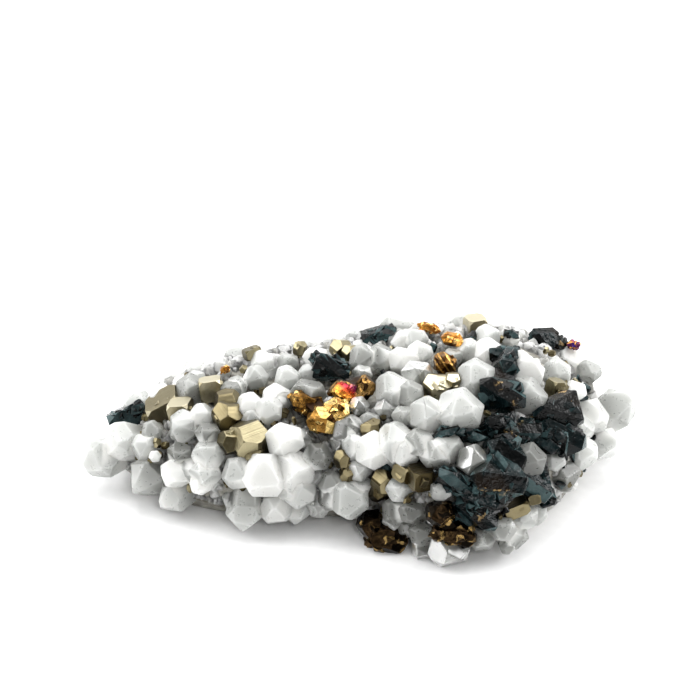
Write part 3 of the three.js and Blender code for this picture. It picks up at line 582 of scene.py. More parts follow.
# Painted sheen: each face gets a random tone from black through dark teal to teal, the teal standing
# for a reflected sheen.
black_to_sheen_tone = coloured_ramp(nodes, [(0.38, BLACK), (0.55, DARK_TEAL), (0.74, PAINTED_TEAL_SHEEN)])
links.new(face_tone_with_painted_shade(nodes, links, patches), black_to_sheen_tone.inputs["Fac"])
brown_place = object_noise(nodes, links, scale=260, detail=1)
brown_share = coloured_ramp(nodes, [(0.58, grey_tone(0)), (0.66, grey_tone(0.8))])
links.new(brown_place.outputs["Fac"], brown_share.inputs["Fac"])
dark_tone = laid_over(
    nodes, links, black_to_sheen_tone.outputs["Color"], BROWN_BLACK, brown_share.outputs["Color"]
)
fine_steps = object_noise(nodes, links, scale=1100, detail=3)
# Painted glints: gold laid on the brightest specks of the fine pattern inside the brown patches.
glint_share = coloured_ramp(nodes, [(0.62, grey_tone(0)), (0.7, grey_tone(1))])
links.new(fine_steps.outputs["Fac"], glint_share.inputs["Fac"])
painted_glints_in_brown = nodes.new("ShaderNodeMath")
painted_glints_in_brown.operation = "MULTIPLY"
links.new(glint_share.outputs["Color"], painted_glints_in_brown.inputs[0])
links.new(brown_share.outputs["Color"], painted_glints_in_brown.inputs[1])
with_painted_glints = laid_over(nodes, links, dark_tone, PAINTED_GOLD_GLINT, painted_glints_in_brown.outputs["Value"])
links.new(with_painted_glints, shader.inputs["Base Color"])
shader.inputs["Roughness"].default_value = 0.12
shader.inputs["IOR"].default_value = 1.26
bumped(nodes, links, shader, fine_steps.outputs["Fac"], distance=0.0003, strength=0.7)
BLENDE_FINISH = (0.03, 2, 0.04, 0.9)
for name, (habit, blocks) in SPHALERITE.items():
    ore_cluster(name, habit, blocks, blende, BLENDE_FINISH, step_count=14, step_turn=50)


# Chalcopyrite: rough gold-brown lumps with a metallic lustre, tarnished in places to orange, red
# and purple, with near-black tones laid by face and patch that are partly the mineral's own dark
# brown and partly painted shade. They grew in the gaps of the quartz.
CHALCOPYRITE = {
    "chalcopyrite_centre": ("lump", [
        (-4.3, -5.3, 2.7, (4.0, 2.2, 2.6), (0, 10, -22)),
        (-2.7, -7.0, 3.0, (3.2, 2.6, 2.8), (20, 0, -10)),
        (-1.5, -6.2, 2.9, (2.6, 2.6, 2.6), (0, 20, 30)),
    ]),
    "chalcopyrite_tarnished": ("lump", [
        (0.8, -3.8, 3.1, (3.8, 2.3, 2.8), (10, 0, 14)),
        (-0.8, -4.2, 3.0, (2.3, 2.4, 2.6), (20, 0, 50)),
    ]),
    "chalcopyrite_front": ("lump", [
        (2.2, -17.4, 3.1, (2.8, 2.8, 2.6), (10, 20, 10)),
        (3.8, -18.8, 3.1, (3.9, 3.2, 2.8), (0, 0, -12)),
        (2.4, -19.6, 2.9, (2.6, 2.2, 2.4), (20, 0, 6)),
    ]),
    "chalcopyrite_lower": ("lump", [
        (9.0, -16.3, 3.1, (2.6, 2.6, 2.4), (0, 20, 30)),
        (10.8, -18.4, 2.9, (3.6, 2.2, 2.4), (15, 0, -14)),
        (8.8, -18.4, 2.9, (1.6, 1.5, 1.6), (0, 0, 0)),
    ]),
    "chalcopyrite_striated": ("lump", [(9.5, -1.4, 3.1, (2.4, 2.1, 2.2), (20, 20, -30))]),
    "chalcopyrite_orange": ("lump", [
        (10.1, 1.1, 2.7, (2.2, 1.4, 1.6), (0, 0, -10)),
        (10.9, 0.7, 2.5, (1.4, 0.9, 1.4), (0, 20, -20)),
    ]),
    "chalcopyrite_crest": ("lump", [(7.9, 2.2, 1.9, (2.7, 1.0, 1.6), (0, 0, -18))]),
    "chalcopyrite_fleck": ("lump", [(-12.5, -1.9, 1.8, (1.1, 0.8, 1.2), (0, 0, 25))]),
    "chalcopyrite_tip": ("lump", [(22.3, 0.5, 2.8, (1.5, 0.9, 1.4), (0, 0, -4))]),
}


def brassy_copper(name, dark, middle, bright, bright_from=0.64):
    """Chalcopyrite in three tones laid by face and patch, the darkest partly painted shade and the
    brightest partly painted glints, and the nodes that a tarnish may be laid over.
    """
    material, nodes, links, shader = new_material(name)
    patches = object_noise(nodes, links, scale=700, detail=6, roughness=0.7)
    brass = coloured_ramp(nodes, [(0.35, dark), (0.5, middle), (bright_from, bright)])
    links.new(face_tone_with_painted_shade(nodes, links, patches), brass.inputs["Fac"])
    links.new(brass.outputs["Color"], shader.inputs["Base Color"])
    shader.inputs["Metallic"].default_value = 1.0
    shader.inputs["Roughness"].default_value = 0.24
    bumped(nodes, links, shader, patches.outputs["Fac"], distance=0.00025, strength=0.45)
    return material, nodes, links, shader, brass


gold_brown = brassy_copper(
    "chalcopyrite", (0.02, 0.008, 0.002), (0.24, 0.12, 0.026), (0.8, 0.58, 0.21), 0.72
)[0]
dark_gold = brassy_copper(
    "chalcopyrite_dark", (0.004, 0.003, 0.002), (0.035, 0.021, 0.01), (0.4, 0.27, 0.1), 0.86
)[0]
orange_gold = brassy_copper(
    "chalcopyrite_orange", (0.2, 0.07, 0.012), (0.6, 0.28, 0.05), (0.9, 0.62, 0.25)
)[0]
purple_tip = brassy_copper(
    "chalcopyrite_purple", (0.03, 0.012, 0.09), (0.2, 0.05, 0.12), (0.75, 0.36, 0.06)
)[0]
red_purple, nodes, links, shader, brass = brassy_copper(
    "chalcopyrite_film", (0.02, 0.01, 0.004), (0.1, 0.055, 0.02), (0.45, 0.26, 0.08), 0.74
)
# The film lies over one end of the crystal, from purple through red and orange to yellow
FILM_SEEN_AT = (-0.8, -4.3)
FILM_STANDS_OUT = 3.0
FILM_LENGTH = 2.6
FILM_STOPS = [
    (0.1, (0.06, 0.02, 0.09)),
    (0.3, (0.35, 0.02, 0.14)),
    (0.48, (0.75, 0.06, 0.04)),
    (0.65, (0.9, 0.3, 0.04)),
    (0.85, (0.9, 0.62, 0.15)),
]
film_middle = to_metres @ spot_seen_at(*FILM_SEEN_AT, FILM_STANDS_OUT)
film_place = nodes.new("ShaderNodeTexCoord")
film_turn = nodes.new("ShaderNodeMapping")
film_turn.vector_type = "TEXTURE"
film_turn.inputs["Location"].default_value = film_middle
film_turn.inputs["Rotation"].default_value = (0, math.radians(120), 0)
film_turn.inputs["Scale"].default_value = (FILM_LENGTH * MM,) * 3
links.new(film_place.outputs["Object"], film_turn.inputs["Vector"])
film_axes = nodes.new("ShaderNodeSeparateXYZ")
links.new(film_turn.outputs["Vector"], film_axes.inputs["Vector"])
film_range = nodes.new("ShaderNodeMapRange")
film_range.inputs["From Min"].default_value = -0.5
film_range.inputs["From Max"].default_value = 0.5
links.new(film_axes.outputs["X"], film_range.inputs["Value"])
film = coloured_ramp(nodes, FILM_STOPS)
links.new(film_range.outputs["Result"], film.inputs["Fac"])
film_reach = nodes.new("ShaderNodeVectorMath")
film_reach.operation = "LENGTH"
links.new(film_turn.outputs["Vector"], film_reach.inputs[0])
film_share = coloured_ramp(nodes, [(0.5, grey_tone(1)), (0.7, grey_tone(0))])
links.new(film_reach.outputs["Value"], film_share.inputs["Fac"])
filmed = laid_over(
    nodes, links, brass.outputs["Color"], film.outputs["Color"], film_share.outputs["Color"]
)
links.new(filmed, shader.inputs["Base Color"])
# One crystal is crossed by golden growth bands on dark brown
banded_brown, nodes, links, shader, brass = brassy_copper(
    "chalcopyrite_banded", (0.02, 0.008, 0.003), (0.08, 0.032, 0.008), (0.2, 0.1, 0.03)
)
BAND_GOLD = (0.6, 0.34, 0.1)
band_place = nodes.new("ShaderNodeTexCoord")
band_turn = nodes.new("ShaderNodeMapping")
band_turn.inputs["Rotation"].default_value = (0.4, math.radians(35), 0)
links.new(band_place.outputs["Object"], band_turn.inputs["Vector"])
bands = nodes.new("ShaderNodeTexWave")
bands.inputs["Scale"].default_value = 520
bands.inputs["Distortion"].default_value = 3
bands.inputs["Detail Scale"].default_value = 0.4
links.new(band_turn.outputs["Vector"], bands.inputs["Vector"])
band_share = coloured_ramp(nodes, [(0.7, grey_tone(0)), (0.95, grey_tone(0.9))])
links.new(bands.outputs["Fac"], band_share.inputs["Fac"])
banded = laid_over(
    nodes, links, brass.outputs["Color"], BAND_GOLD, band_share.outputs["Color"]
)
links.new(banded, shader.inputs["Base Color"])
COPPER_FINISH = (0.04, 3, 0.09, 1.5)
COPPER_LOOKS = {
    "striated": banded_brown,
    "tarnished": red_purple,
    "tip": purple_tip,
    "front": dark_gold,
    "lower": dark_gold,
    "orange": orange_gold,
    "crest": orange_gold,
    "fleck": orange_gold,
}
for name, (habit, blocks) in CHALCOPYRITE.items():
    look = COPPER_LOOKS.get(name.split("_")[1], gold_brown)
    ore_cluster(name, habit, blocks, look, COPPER_FINISH, step_count=12, step_turn=60)


# Pyrite: pale brassy crystals, bright on fresh faces and brown on worn ones, each face a random
# tone that partly paints its light and shade, with fine growth lines that cross at right angles
# from one face to the next. They grew among the quartz.
PYRITE = {
    "pyrite_large": ("pyrite", [
        (-10.0, -9.1, 3.1, (4.0, 4.0, 4.0), (40, 25, 20)),
        (-12.0, -9.2, 2.7, (2.2, 2.4, 2.4), (10, 30, 10)),
    ]),
    "pyrite_brown": ("pyrite", [
        (-12.2, -6.6, 2.7, (3.0, 2.8, 3.0), (40, 40, 0)),
        (-12.3, -5.1, 2.7, (2.6, 1.9, 2.4), (50, 0, 10)),
    ]),
    "pyrite_left": ("cube", [
        (-18.4, -5.5, 2.5, (3.6, 2.2, 2.8), (35, -15, 28)),
        (-16.9, -6.0, 2.5, (2.2, 1.9, 2.2), (25, -15, 4)),
    ]),
    "pyrite_pitted": ("cube", [(-13.9, -3.9, 2.4, (2.2, 2.2, 1.8), (20, 0, 8))]),
    "pyrite_upper": ("pyrite", [
        (8.8, -3.7, 2.9, (2.8, 2.6, 2.8), (30, 40, 0)),
        (10.3, -3.1, 2.9, (1.9, 1.6, 2.0), (30, 0, 0)),
    ]),
    "pyrite_grey": ("cube", [
        (7.1, -12.7, 2.7, (2.2, 2.0, 2.2), (30, 20, 10)),
        (5.6, -12.3, 2.5, (1.9, 1.5, 2.0), (20, 40, 0)),
    ]),
    "pyrite_under": ("pyrite", [
        (3.5, -13.1, 2.5, (2.5, 2.5, 2.5), (30, 45, 0)),
        (2.8, -14.3, 2.3, (1.7, 1.6, 1.8), (0, 30, 20)),
    ]),
    "pyrite_wedge": ("pyrite", [(2.2, -7.9, 2.7, (2.1, 1.9, 2.1), (20, 45, 30))]),
    "pyrite_pair": ("pyrite", [
        (-0.7, -10.9, 2.7, (1.6, 1.9, 1.8), (20, 40, 0)),
        (-0.3, -12.4, 2.5, (1.5, 1.4, 1.6), (40, 10, 0)),
    ]),
    "pyrite_crest": ("cube", [(12.5, 2.5, 1.7, (2.0, 1.8, 1.8), (30, 20, 10))]),
    "pyrite_back_left": ("cube", [(-9.8, -0.3, 2.7, (1.7, 1.1, 1.4), (20, 20, 20))]),
    "pyrite_back_middle": ("pyrite", [(-5.0, 0.1, 2.5, (1.3, 1.7, 1.4), (20, 40, 0))]),
    "pyrite_back_right": ("pyrite", [
        (-0.9, 0.1, 2.7, (2.2, 2.0, 2.2), (30, 45, 0)),
        (0.0, -0.3, 2.5, (1.6, 1.7, 1.8), (30, 40, 0)),
    ]),
    "pyrite_right": ("cube", [(20.5, -3.9, 2.2, (1.4, 1.9, 1.6), (20, 30, 0))]),
    "pyrite_low_right": ("cube", [
        (16.6, -15.8, 2.2, (2.4, 1.2, 2.0), (20, 0, 22)),
        (18.2, -15.0, 2.6, (1.3, 0.9, 1.4), (0, 20, 10)),
    ]),
}


def brassy_pyrite(name, dark, bright):
    """Pyrite with growth lines across its faces."""
    material, nodes, links, shader = new_material(name)
    patches = object_noise(nodes, links, scale=500, detail=4)
    tone = coloured_ramp(nodes, [(0.35, dark), (0.65, bright)])
    links.new(face_tone_with_painted_shade(nodes, links, patches), tone.inputs["Fac"])
    links.new(tone.outputs["Color"], shader.inputs["Base Color"])
    shader.inputs["Metallic"].default_value = 1.0
    shader.inputs["Roughness"].default_value = 0.3
    lines = nodes.new("ShaderNodeTexNoise")
    lines.noise_dimensions = "1D"
    lines.inputs["Scale"].default_value = 7
    lines.inputs["Detail"].default_value = 3
    links.new(written_on_mesh(nodes, "band"), lines.inputs["W"])
    bumped(nodes, links, shader, lines.outputs["Fac"], distance=0.00012, strength=0.35)
    return material


pale_pyrite = brassy_pyrite("pyrite", (0.1, 0.085, 0.045), (0.34, 0.3, 0.185))
brown_pyrite = brassy_pyrite("pyrite_worn", (0.045, 0.035, 0.016), (0.19, 0.16, 0.09))
fresh_pyrite = brassy_pyrite("pyrite_fresh", (0.2, 0.175, 0.11), (0.58, 0.53, 0.38))
PYRITE_FINISH = (0.04, 1, 0.0, 0.9)
PYRITE_LOOKS = dict.fromkeys(("left", "pitted", "crest", "upper"), fresh_pyrite)
PYRITE_LOOKS |= dict.fromkeys(("brown", "wedge", "pair", "under", "grey", "low"), brown_pyrite)
for name, (habit, blocks) in PYRITE.items():
    look = PYRITE_LOOKS.get(name.split("_")[1], pale_pyrite)
    ore_cluster(name, habit, blocks, look, PYRITE_FINISH, step_count=3, step_turn=20)


# The quartz crystals that show: short six-sided prisms with six end faces, milky to grey and
# clear. They grew out of the rock in every direction, and into each other.
END_FACE_TILT = math.radians(51.8)
LEAST_POINT_KEPT = 0.28
MORE_POINT_KEPT = 0.4
TOP_LEAN = math.radians(14)
ROOT_SHARE = 0.72
ROOT_DEPTH = 1.6
LONGEST_CRYSTAL = 5
CRYSTAL_EDGE = 0.1
LEAST_FLATNESS = 0.84
MORE_FLATNESS = 0.22
SMALL_FACE_CUT = 0.1
LARGE_FACE_CUT = 0.06
SIXTH_TURN = 60
SEAT_WIDTH = 0.8
SEAT_RIM = 0.6
SEAT_RISE = 0.3
SEAT_CLARITY = 0.5
FACE_PAINTED_HIGHLIGHT = 0.4
EDGE_OF_WIDTH = 0.045
LENGTH_STEP = 0.2
INNER_SHARE = 0.85
LEAST_TOWARDS = 0.02
# Each row: the tip's place right and up in the picture, the width, how far the tip stands out,
# its lean right and up, 0 for milky to 1 for grey and clear, and for a few the turn. That value
# is partly the crystal's own clearness and partly painted light and shade, set crystal by crystal
# to even out how brightly each is lit.
SEEN_CRYSTALS = [
    # the left end
    (-26.4, -11.4, 4.6, 4.2, -0.85, -0.25, 0.35),
    (-24.7, -9.0, 4.3, 4.0, -0.7, 0.1, 0.3),
    (-21.7, -14.3, 4.6, 4.2, -0.5, -0.5, 0.5),
    (-19.2, -15.8, 3.2, 3.0, -0.75, -0.45, 0.25),
    (-18.7, -13.4, 3.7, 3.4, -0.55, -0.45, 0.1),
    (-21.2, -9.8, 3.2, 3.0, -0.3, 0.0, 0.4),
    (-19.5, -10.6, 1.2, 2.7, 0.1, 0.1, 0.4),
    (-19.9, -7.9, 2.2, 2.2, 0.0, 0.2, 0.65),
    (-17.8, -7.5, 3.4, 3.2, -0.45, 0.1, 0.5),
    (-17.5, -10.5, 2.9, 2.8, -0.2, 0.0, 0.8),
    (-16.3, -12.2, 2.7, 2.6, -0.2, -0.1, 0.6),
    (-21.9, -4.6, 3.7, 3.4, -0.3, 0.5, 0.4),
    (-19.2, -3.9, 2.9, 2.8, -0.1, 0.5, 0.1),
    (-17.3, -3.0, 2.4, 2.3, -0.3, 0.5, 0.2),
    (-16.0, -3.4, 3.4, 3.2, 0.0, 0.3, 0.6),
    (-15.3, -2.2, 2.0, 2.0, 0.1, 0.5, 0.5),
    # left of the middle, from the front edge up
    (-10.7, -18.3, 3.8, 3.9, -0.05, -0.8, 0.35),
    (-7.4, -16.9, 3.5, 3.3, 0.05, -0.45, 0.2),
    (-4.3, -14.9, 3.5, 3.3, 0.4, -0.3, 0.35),
    (-6.0, -14.7, 3.4, 3.2, 0.0, -0.4, 0.25),
    (-15.0, -14.4, 2.3, 3.6, 0.0, -0.5, 0.05),
    (-14.7, -12.7, 3.4, 3.6, -0.05, -0.1, 0.4),
    (-14.4, -10.2, 3.5, 3.4, -0.05, 0.25, 0.5),
    (-11.8, -12.5, 3.7, 3.4, -0.3, -0.05, 0.4),
    (-8.6, -12.7, 4.9, 4.5, 0.0, 0.0, 0.0, 0),
    (-5.3, -12.0, 4.5, 4.1, 0.15, 0.08, 0.15),
    (-6.8, -8.9, 4.1, 4.4, 0.05, 0.3, 0.1),
    (-14.3, -8.3, 2.7, 2.6, 0.0, 0.1, 0.8),
    (-14.9, -5.6, 2.9, 2.8, 0.0, 0.6, 0.3),
    (-10.3, -5.2, 3.0, 2.8, -0.1, 0.3, 0.2),
    (-8.2, -5.9, 2.9, 2.8, 0.0, 0.1, 0.3),
    (-7.0, -4.1, 3.0, 2.8, 0.2, 0.4, 0.15),
    (-6.8, -5.2, 1.3, 2.2, 0.2, 0.0, 0.4),
    (-12.0, -3.8, 2.2, 2.2, 0.0, 0.2, 0.75),
    (-9.5, -2.3, 2.7, 2.6, 0.0, 0.3, 0.5),
    (-6.3, -2.2, 2.7, 2.6, 0.0, 0.4, 0.35),
    (-8.8, -0.3, 2.7, 2.6, 0.0, 0.6, 0.25),
    (-6.4, -0.6, 2.4, 2.3, -0.1, 0.4, 0.55),
    (-3.4, 0.0, 2.9, 2.8, 0.0, 0.5, 0.1),
    # the middle
    (-3.1, -10.6, 3.2, 3.0, 0.1, 0.1, 0.9),
    (-2.0, -13.3, 2.7, 2.6, -0.1, 0.1, 0.65),
    (-2.2, -15.3, 2.9, 2.8, -0.2, -0.3, 0.95),
    (-0.1, -15.1, 4.1, 3.8, -0.05, -0.05, 0.4),
    (0.5, -16.8, 1.8, 2.4, 0.0, -0.5, 0.5),
    (1.3, -13.8, 2.7, 2.6, 0.1, 0.1, 0.4),
    (2.5, -10.1, 4.1, 4.4, 0.0, 0.05, 0.1, 30),
    (4.6, -8.2, 4.5, 4.1, -0.05, 0.45, 0.4),
    (5.8, -10.6, 2.7, 3.2, 0.1, -0.1, 0.25),
    (0.0, -9.8, 2.6, 3.0, -0.3, 0.0, 0.5),
    (1.0, -12.0, 2.9, 2.8, 0.1, 0.0, 0.45),
    (4.8, -14.1, 2.8, 3.0, -0.1, 0.0, 0.4),
    (0.9, -5.4, 2.1, 2.4, 0.0, 0.2, 1),
    (0.0, -8.1, 2.9, 2.8, 0.2, 0.1, 1),
    (4.4, -3.0, 4.0, 3.7, 0.0, 0.5, 0.5),
    (5.4, 0.0, 3.4, 3.2, 0.0, 0.45, 0.05),
    (-3.7, -3.8, 3.7, 3.4, 0.25, 0.25, 0.7),
    (-4.1, -1.6, 2.2, 2.2, 0.1, 0.6, 0.4),
    (-1.0, 0.9, 2.2, 2.2, -0.1, 0.6, 0.7),
    (1.2, -0.2, 3.3, 3.1, -0.1, 0.4, 0.6),
    (3.2, -0.3, 2.9, 2.8, 0.1, 0.3, 0.7),
    (1.1, -2.1, 2.1, 2.1, -0.1, 0.2, 0.8),
    (5.5, -6.2, 2.6, 2.4, 0.0, 0.3, 0.55),
    (3.5, -5.5, 2.4, 2.3, -0.1, 0.2, 0.55),
    (7.4, -6.7, 2.4, 2.3, 0.1, 0.2, 0.4),
    (0.4, -7.2, 2.2, 2.2, 0.1, 0.3, 0.7),
    (2.0, -6.8, 2.2, 2.2, 0.0, 0.3, 0.65),
    (-0.9, -9.0, 2.4, 2.3, 0.0, 0.2, 0.95),
    (-4.3, -8.6, 2.2, 2.2, 0.2, 0.2, 1),
    (-9.8, -6.7, 2.4, 2.3, 0.0, 0.3, 0.65),
    (-11.2, -3.1, 2.2, 2.2, 0.1, 0.4, 0.65),
    (4.4, -16.2, 2.9, 2.8, -0.1, 0.0, 1),
    (6.2, -16.5, 2.7, 2.6, 0.0, -0.1, 1),
    # right of the middle
    (7.0, -1.9, 3.3, 3.1, 0.1, 0.25, 0.75),
    (8.1, -6.0, 4.1, 3.8, 0.0, 0.1, 0.4, 30),
    (11.3, -5.4, 5.0, 4.5, 0.05, 0.15, 0.35),
    (12.8, -2.0, 4.1, 3.8, 0.0, 0.35, 0.4, 30),
    (6.4, -4.3, 2.7, 2.6, 0.2, 0.1, 0.6),
    (7.3, -9.0, 3.4, 3.2, 0.1, 0.2, 0.65),
    (10.3, -9.6, 3.5, 3.3, 0.25, 0.15, 0.6),
    (8.5, -10.8, 3.4, 3.2, -0.1, -0.1, 0.6),
    (12.9, -10.8, 3.4, 3.2, 0.2, 0.2, 0.8),
    (9.7, -14.7, 2.2, 2.6, 0.35, -0.4, 0.55),
    (7.5, 0.3, 2.7, 2.6, 0.3, 0.3, 0.25),
    (6.6, 1.9, 2.7, 2.6, 0.0, 0.6, 0.45),
    (5.2, 1.9, 2.7, 2.6, -0.1, 0.6, 0.1),
    (12.0, 0.8, 2.7, 2.6, 0.0, 0.5, 0.4),
    (14.2, 0.7, 3.2, 3.0, 0.1, 0.5, 0.0),
    (14.0, 2.3, 2.7, 2.6, 0.1, 0.6, 0.35),
    (16.1, 2.0, 2.3, 2.3, 0.1, 0.6, 0.3),
    (10.5, -0.3, 2.2, 2.2, 0.1, 0.3, 0.6),
    # the right end
    (18.2, -3.8, 4.4, 4.0, 0.05, 0.2, 0.55),
    (17.9, -0.3, 4.9, 4.5, 0.2, 0.45, 0.0),
    (21.2, -1.7, 2.9, 2.8, 0.2, 0.3, 0.45),
    (22.7, -3.7, 2.6, 2.6, 0.1, 0.3, 0.1),
    (24.7, -1.4, 2.9, 2.8, 0.45, 0.5, 0.6),
    (28.6, -4.4, 4.8, 4.4, 0.8, 0.2, 0.35),
    (25.6, -6.6, 4.2, 4.0, 0.5, 0.05, 0.15),
    (23.8, -8.1, 2.9, 2.8, 0.3, -0.1, 0.4),
    (23.8, -10.2, 3.9, 3.6, 0.25, 0.05, 0.3),
    (20.7, -11.2, 2.4, 2.3, 0.1, 0.0, 0.5),
    (22.7, -13.4, 3.7, 3.4, 0.55, -0.35, 0.8),
    (27.2, -9.6, 3.9, 3.6, 0.65, -0.05, 0.4),
    (18.0, -10.9, 3.7, 3.4, 0.0, 0.1, 0.95),
    # the front edge on the right
    (17.6, -16.7, 3.2, 3.0, 0.1, 0.0, 0.55),
    (19.3, -16.4, 2.4, 2.4, 0.4, 0.0, 0.5),
    (16.7, -19.1, 3.2, 3.0, 0.15, -0.2, 0.7),
    (15.3, -18.0, 2.7, 2.6, -0.1, 0.0, 0.6),
    (13.3, -19.6, 2.7, 2.6, 0.0, -0.3, 0.65),
    (10.0, -21.2, 4.4, 4.0, 0.0, -0.45, 1),
    (6.8, -20.6, 2.4, 2.4, -0.3, -0.4, 1),
    (7.1, -18.7, 2.7, 2.6, -0.1, -0.1, 1),
    (16.0, -20.2, 1.6, 2.4, 0.2, -0.4, 0.75),
]


def length_to_rock(tip, direction):
    """How far back along a crystal from its tip the rock is."""
    length = 1
    while length < LONGEST_CRYSTAL and rock_field(tip - length * direction, 0) > 1:
        length += LENGTH_STEP
    return length


def rooted_direction(tip, asked):
    """The nearest direction to the one asked for that roots the crystal in the rock."""
    inner = Vector((tip.x * INNER_SHARE, rock_at(tip.x)[0], ROCK_RIM_HEIGHT))
    outwards = (tip - inner).normalized()
    for tenths in range(11):
        direction = asked.lerp(outwards, tenths / 10).normalized()
        if length_to_rock(tip, direction) < LONGEST_CRYSTAL:
            return direction
    return outwards


def direction_seen_as(right, up):
    """A direction from its part right and its part up in the picture."""
    towards = math.sqrt(max(LEAST_TOWARDS, 1 - right * right - up * up))
    return (right * RIGHT + up * UP + towards * TOWARDS_EYE).normalized()


def crystal_form(width, length, spin, seed):
    """A crystal that points up with its tip by the origin, and how flat it is."""
    random = number_stream(seed)
    radius = width / 2 / math.cos(math.pi / 6)
    flatness = LEAST_FLATNESS + MORE_FLATNESS * next(random)
    turn = math.radians(spin + 30)
    bm = bmesh.new()
    bmesh.ops.create_cone(
        bm,
        cap_ends=True,
        segments=6,
        radius1=radius * ROOT_SHARE,
        radius2=radius,
        depth=length,
        matrix=Matrix.Rotation(turn, 4, "Z") @ Matrix.Translation((0, 0, -length / 2)),
    )
    for face in range(6):
        heading = turn + (face + 0.5) * math.pi / 3
        normal = Vector(
            (
                math.sin(heading) * math.sin(END_FACE_TILT),
                -math.cos(heading) * math.sin(END_FACE_TILT),
                math.cos(END_FACE_TILT),
            )
        )
        if face % 2:
            depth = radius * (SMALL_FACE_CUT + SMALL_FACE_CUT * next(random))
        else:
            depth = radius * LARGE_FACE_CUT * next(random)
        cut_off(bm, -depth * normal, normal)
    point_height = width / 2 * math.tan(END_FACE_TILT)
    missing = point_height * (1 - LEAST_POINT_KEPT - MORE_POINT_KEPT * next(random))
    lean = TOP_LEAN * next(random)
    lean_to = 2 * math.pi * next(random)
    top = Vector(
        (math.sin(lean) * math.cos(lean_to), -math.sin(lean) * math.sin(lean_to), math.cos(lean))
    )
    cut_off(bm, Vector((0, 0, -missing)), top)
    bmesh.ops.translate(bm, verts=bm.verts, vec=(0, 0, missing / 2))
    return bm, flatness


def grown_crystal(tip, direction, width, length, spin, seed, clarity):
    """One finished crystal in its place, as a mesh in millimetres."""
    bm, flatness = crystal_form(width, length, spin, seed)
    bmesh.ops.remove_doubles(bm, verts=bm.verts, dist=0.01)
    bmesh.ops.recalc_face_normals(bm, faces=bm.faces)
    # Painted highlight: each face gets a faint random share of white, and the bevelled edges below
    # get the full share.
    painted_edge_highlight = bm.faces.layers.float.new("painted_edge_highlight")
    random = number_stream(seed + 900)
    for face in bm.faces:
        face[painted_edge_highlight] = FACE_PAINTED_HIGHLIGHT * next(random)
    worn_edges = bmesh.ops.bevel(
        bm,
        geom=bm.edges[:],
        offset=min(CRYSTAL_EDGE, EDGE_OF_WIDTH * width),
        segments=2,
        profile=0.5,
        affect="EDGES",
        material=-1,
    )
    for face in worn_edges["faces"]:
        face[painted_edge_highlight] = 1
    clearness = bm.verts.layers.float.new("clearness")
    from_tip = bm.verts.layers.float.new("from_tip")
    for vert in bm.verts:
        vert[clearness] = clarity
        vert[from_tip] = -vert.co.z
    first = (RIGHT - RIGHT.dot(direction) * direction).normalized()
    third = first.cross(direction) * flatness
    axes = Matrix((first, -third, direction)).transposed().to_4x4()
    bm.transform(Matrix.Translation(tip) @ axes)
    cut_off(bm, Vector((0, 0, 0)), Vector((0, 0, -1)))
    bmesh.ops.recalc_face_normals(bm, faces=bm.faces)
    mesh = bpy.data.meshes.new("crystal")
    bm.to_mesh(mesh)
    bm.free()
    return mesh


def joined_pair(mesh, other):
    """Two closed meshes grown into one, without the walls that they would hide."""
    holder = bpy.data.objects.new("holder", mesh)
    partner = bpy.data.objects.new("partner", other)
    for piece in (holder, partner):
        bpy.context.scene.collection.objects.link(piece)
    union = holder.modifiers.new("union", "BOOLEAN")
    union.operation = "UNION"
    union.solver = "MANIFOLD"
    union.object = partner
    scene_state = bpy.context.evaluated_depsgraph_get()
    whole = bpy.data.meshes.new_from_object(holder.evaluated_get(scene_state))
    for piece in (holder, partner):
        bpy.data.objects.remove(piece)
    for part in (mesh, other):
        bpy.data.meshes.remove(part)
    return whole


def grown_together(meshes):
    """All the meshes as one, joined in pairs."""
    while len(meshes) > 1:
        pairs = zip(meshes[0::2], meshes[1::2])
        odd_one = meshes[len(meshes) // 2 * 2 :]
        meshes = [joined_pair(mesh, other) for mesh, other in pairs] + odd_one
    return meshes[0]


CLOUD_SHARE = 0.2
# Painted shade: the tone greys with the distance from the tip, darkening the crystals' roots in the
# crevices between them.
ROOT_PAINTED_SHADE = 0.12
# Painted highlight: how much white is laid on the quartz edges, and its colour.
EDGE_HIGHLIGHT_SHARE = 0.06
PAINTED_EDGE_HIGHLIGHT_WHITE = (0.97, 0.97, 0.96)
QUARTZ_IOR = 1.54
MILK_DEPTH = 0.0024


def added_share(nodes, links, value, more, share):
    """A value with a share of another added to it."""
    sum_of_both = nodes.new("ShaderNodeMath")
    sum_of_both.operation = "MULTIPLY_ADD"
    sum_of_both.inputs[1].default_value = share
    links.new(more, sum_of_both.inputs[0])
    links.new(value, sum_of_both.inputs[2])
    return sum_of_both.outputs["Value"]


